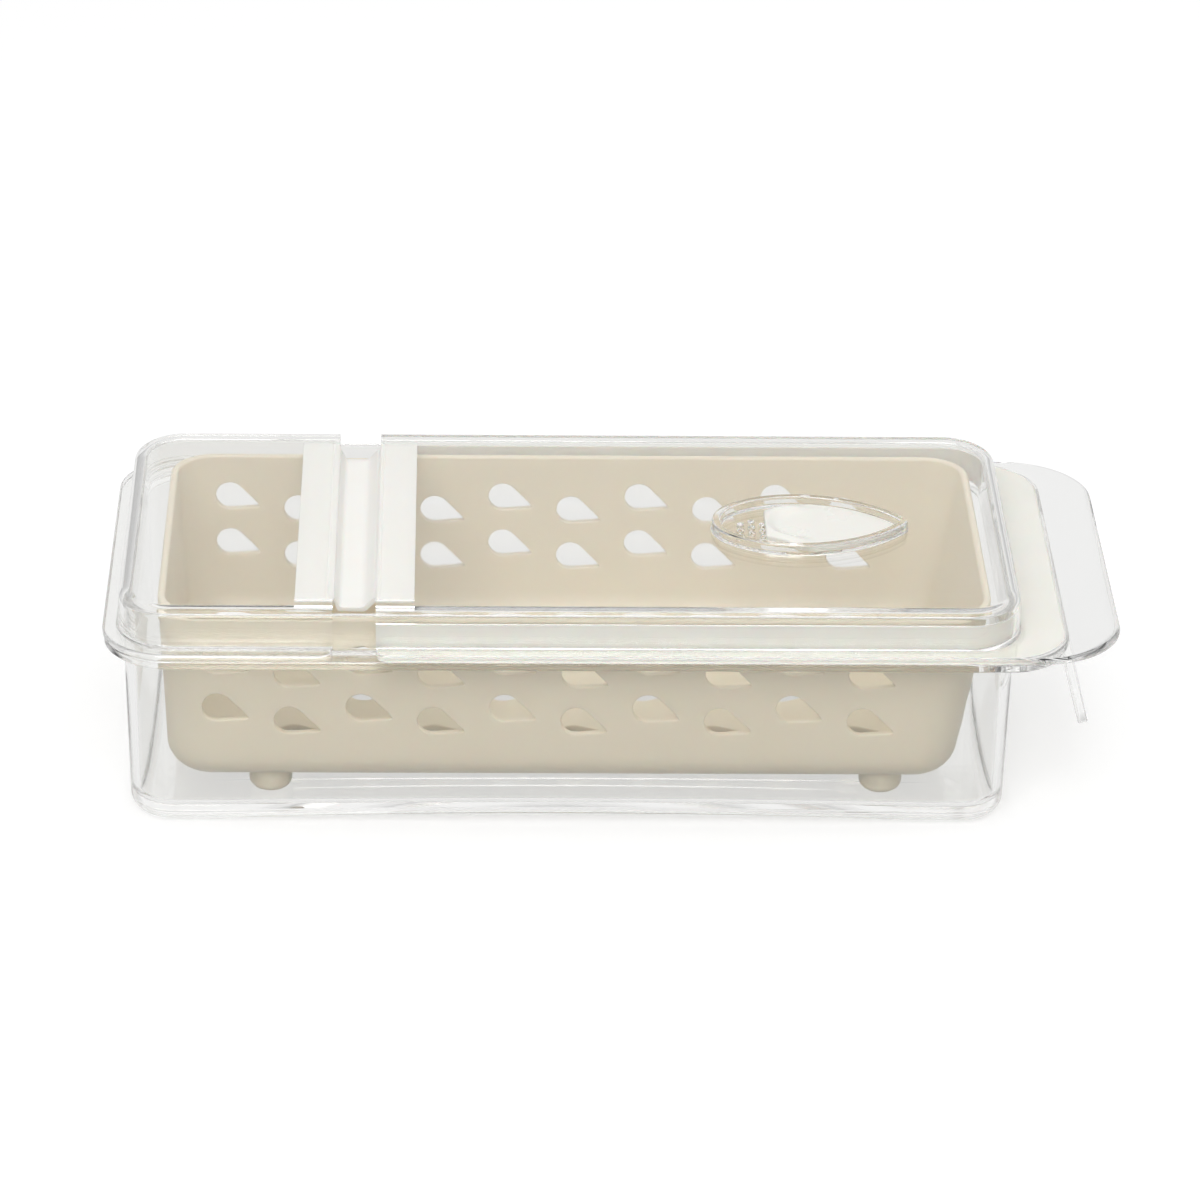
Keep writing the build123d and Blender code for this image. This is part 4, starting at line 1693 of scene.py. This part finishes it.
@dataclass
class Studio:
    """Plain pale floor, soft light and the photograph's camera."""

    softboxes: tuple[Softbox, ...] = (
        Softbox("key_softbox", (-0.2, -1.1, 1.05), 1.0, 9.4),
        Softbox("fill_softbox", (0.9, 0.2, 1.2), 0.8, 1.2),
    )
    camera_place: tuple[float, float, float] = (-45.0, -1424.4, 769.7)
    camera_target: tuple[float, float, float] = (-2.44, 0.0, 43.67)
    camera_roll: float = 1.02
    focal_length: float = 163.69
    sensor: float = 36.0
    floor_reach: float = 4.0
    floor_colour: str = "#BABABA"
    floor_gap: float = 0.0003
    floor_fill: float = 0.57
    backdrop: float = 1.0
    backdrop_share: float = 0.75
    room: tuple[float, float] = (0.12, 0.9)
    surround: tuple[float, float] = (0.45, 0.95)
    room_heights: tuple[float, float] = (0.0, 0.8)
    surround_heights: tuple[float, float] = (0.02, 0.3)
    bounces: int = 64

    def camera(self) -> None:
        """Places the camera by its place, its target and a small roll."""
        data = bpy.data.cameras.new("photo_camera")
        data.lens = self.focal_length
        data.sensor_width = self.sensor
        data.clip_start, data.clip_end = 0.05, 20.0
        camera = bpy.data.objects.new("photo_camera", data)
        bpy.context.scene.collection.objects.link(camera)
        place, target = (Vector(v) * MM for v in (self.camera_place, self.camera_target))
        back = (place - target).normalized()
        right = Vector((0, 0, 1)).cross(back).normalized()
        upright = back.cross(right)
        roll = math.radians(self.camera_roll)
        side = right * math.cos(roll) + upright * math.sin(roll)
        above = upright * math.cos(roll) - right * math.sin(roll)
        turn = Matrix((side, above, back)).transposed().to_4x4()
        camera.matrix_world = Matrix.Translation(place) @ turn
        bpy.context.scene.camera = camera

    def seen(self, material: bpy.types.Material | bpy.types.World) -> tuple[bpy.types.NodeSocket, ...]:
        """What kind of ray meets the floor or the room.

        Returns:
            One for the camera's own rays, and one for rays that come to the eye through clear
            pieces or off glossy ones with no dull surface in between.
        """
        path = add_node(material, "ShaderNodeLightPath").outputs
        link = material.node_tree.links.new
        either = add_node(material, "ShaderNodeMath", {"operation": "MAXIMUM"})
        link(path["Is Glossy Ray"], either.inputs[0])
        link(path["Is Transmission Ray"], either.inputs[1])
        clear = add_node(material, "ShaderNodeMath", {"operation": "SUBTRACT", "use_clamp": True})
        link(either.outputs[0], clear.inputs[0])
        link(path["Diffuse Depth"], clear.inputs[1])
        return path["Is Camera Ray"], clear.outputs[0]

    def floor(self) -> None:
        """Pale floor that keeps the shadow.

        A fill of light that only the camera's rays see makes it white, and through the clear
        pieces it is seen as a pale backdrop with a soft shadow.
        """
        reach, low = self.floor_reach, -self.floor_gap
        mesh = bpy.data.meshes.new("floor")
        corners = [(-reach, -reach, low), (reach, -reach, low), (reach, reach, low), (-reach, reach, low)]
        mesh.from_pydata(corners, [], [(0, 1, 2, 3)])
        floor = make_object(mesh, "floor")
        material = bpy.data.materials.new("pale_floor")
        material.use_nodes = True
        material.node_tree.nodes.clear()
        link = material.node_tree.links.new
        camera, clear = self.seen(material)
        white = (1, 1, 1, 1)
        diffuse = add_node(material, "ShaderNodeBsdfDiffuse", {"Color": linear(self.floor_colour)})
        fill = add_node(material, "ShaderNodeMath", {"operation": "MULTIPLY"})
        link(camera, fill.inputs[0])
        fill.inputs[1].default_value = self.floor_fill
        glow = add_node(material, "ShaderNodeEmission", {"Color": white}, {"Strength": fill.outputs[0]})
        lit = add_node(material, "ShaderNodeAddShader")
        link(diffuse.outputs[0], lit.inputs[0])
        link(glow.outputs[0], lit.inputs[1])
        share = add_node(material, "ShaderNodeMath", {"operation": "MULTIPLY"})
        link(clear, share.inputs[0])
        share.inputs[1].default_value = self.backdrop_share
        backdrop = add_node(material, "ShaderNodeEmission", {"Color": white, "Strength": self.backdrop})
        mix = add_node(material, "ShaderNodeMixShader")
        link(share.outputs[0], mix.inputs[0])
        link(lit.outputs[0], mix.inputs[1])
        link(backdrop.outputs[0], mix.inputs[2])
        add_node(material, "ShaderNodeOutputMaterial", links={"Surface": mix.outputs[0]})
        mesh.materials.append(material)

    def world(self) -> None:
        """Soft room: light overhead, greyer towards the horizon, and white behind the object.

        Rays that come to the eye through clear pieces or off glossy ones meet a paler surround,
        which is grey only close to the horizon and draws the edges of the clear plastic.
        """
        world = bpy.data.worlds.new("soft_room")
        world.use_nodes = True
        world.node_tree.nodes.clear()
        link = world.node_tree.links.new
        camera, clear = self.seen(world)
        direction = add_node(world, "ShaderNodeTexCoord").outputs["Generated"]
        height = add_node(world, "ShaderNodeSeparateXYZ", links={"Vector": direction}).outputs["Z"]
        levels = []
        for (start, stop), (low, high) in (
            (self.room_heights, self.room),
            (self.surround_heights, self.surround),
        ):
            ramp = add_node(
                world,
                "ShaderNodeMapRange",
                {"From Min": start, "From Max": stop, "To Min": low, "To Max": high},
                {"Value": height},
            )
            levels.append(ramp.outputs["Result"])
        light = add_node(world, "ShaderNodeMix", links={"Factor": clear})
        link(levels[0], light.inputs[2])
        link(levels[1], light.inputs[3])
        strength = add_node(world, "ShaderNodeMix", links={"Factor": camera})
        link(light.outputs[0], strength.inputs[2])
        strength.inputs[3].default_value = 1.0
        background = add_node(
            world, "ShaderNodeBackground", {"Color": (1, 1, 1, 1)}, {"Strength": strength.outputs[0]}
        )
        add_node(world, "ShaderNodeOutputWorld", links={"Surface": background.outputs[0]})
        bpy.context.scene.world = world

    def build(self) -> None:
        """Makes the camera, the floor, the room and the lamps.

        Light is followed through as many faces of the clear pieces as it takes to come out.
        """
        light = bpy.context.scene.cycles
        light.blur_glossy = 0.0
        light.max_bounces = light.transmission_bounces = light.glossy_bounces = self.bounces
        self.camera()
        self.floor()
        self.world()
        for softbox in self.softboxes:
            softbox.build()


def main() -> None:
    """Builds the studio and every moulding in order, and reports each piece."""
    logging.basicConfig(level=logging.INFO, format="%(message)s")
    bpy.context.scene.view_settings.view_transform = "Standard"
    Studio().build()
    clear = CLEAR_STYRENE.build()
    bin_part = BaseBin()
    lid = Lid(bin_part)
    bin_part.build(clear)
    ColanderBasket().build(BASKET_POLYPROPYLENE.build())
    lid.build(Panel.SHORT, clear)
    lid.build(Panel.LONG, clear)
    Gasket(lid).build(GASKET_SILICONE.build())
    HingeStrip(lid).build(STRIP_ELASTOMER.build())
    VentSlide(lid).build(SLIDE_ACETAL.build())


if __name__ == "__main__":
    main()
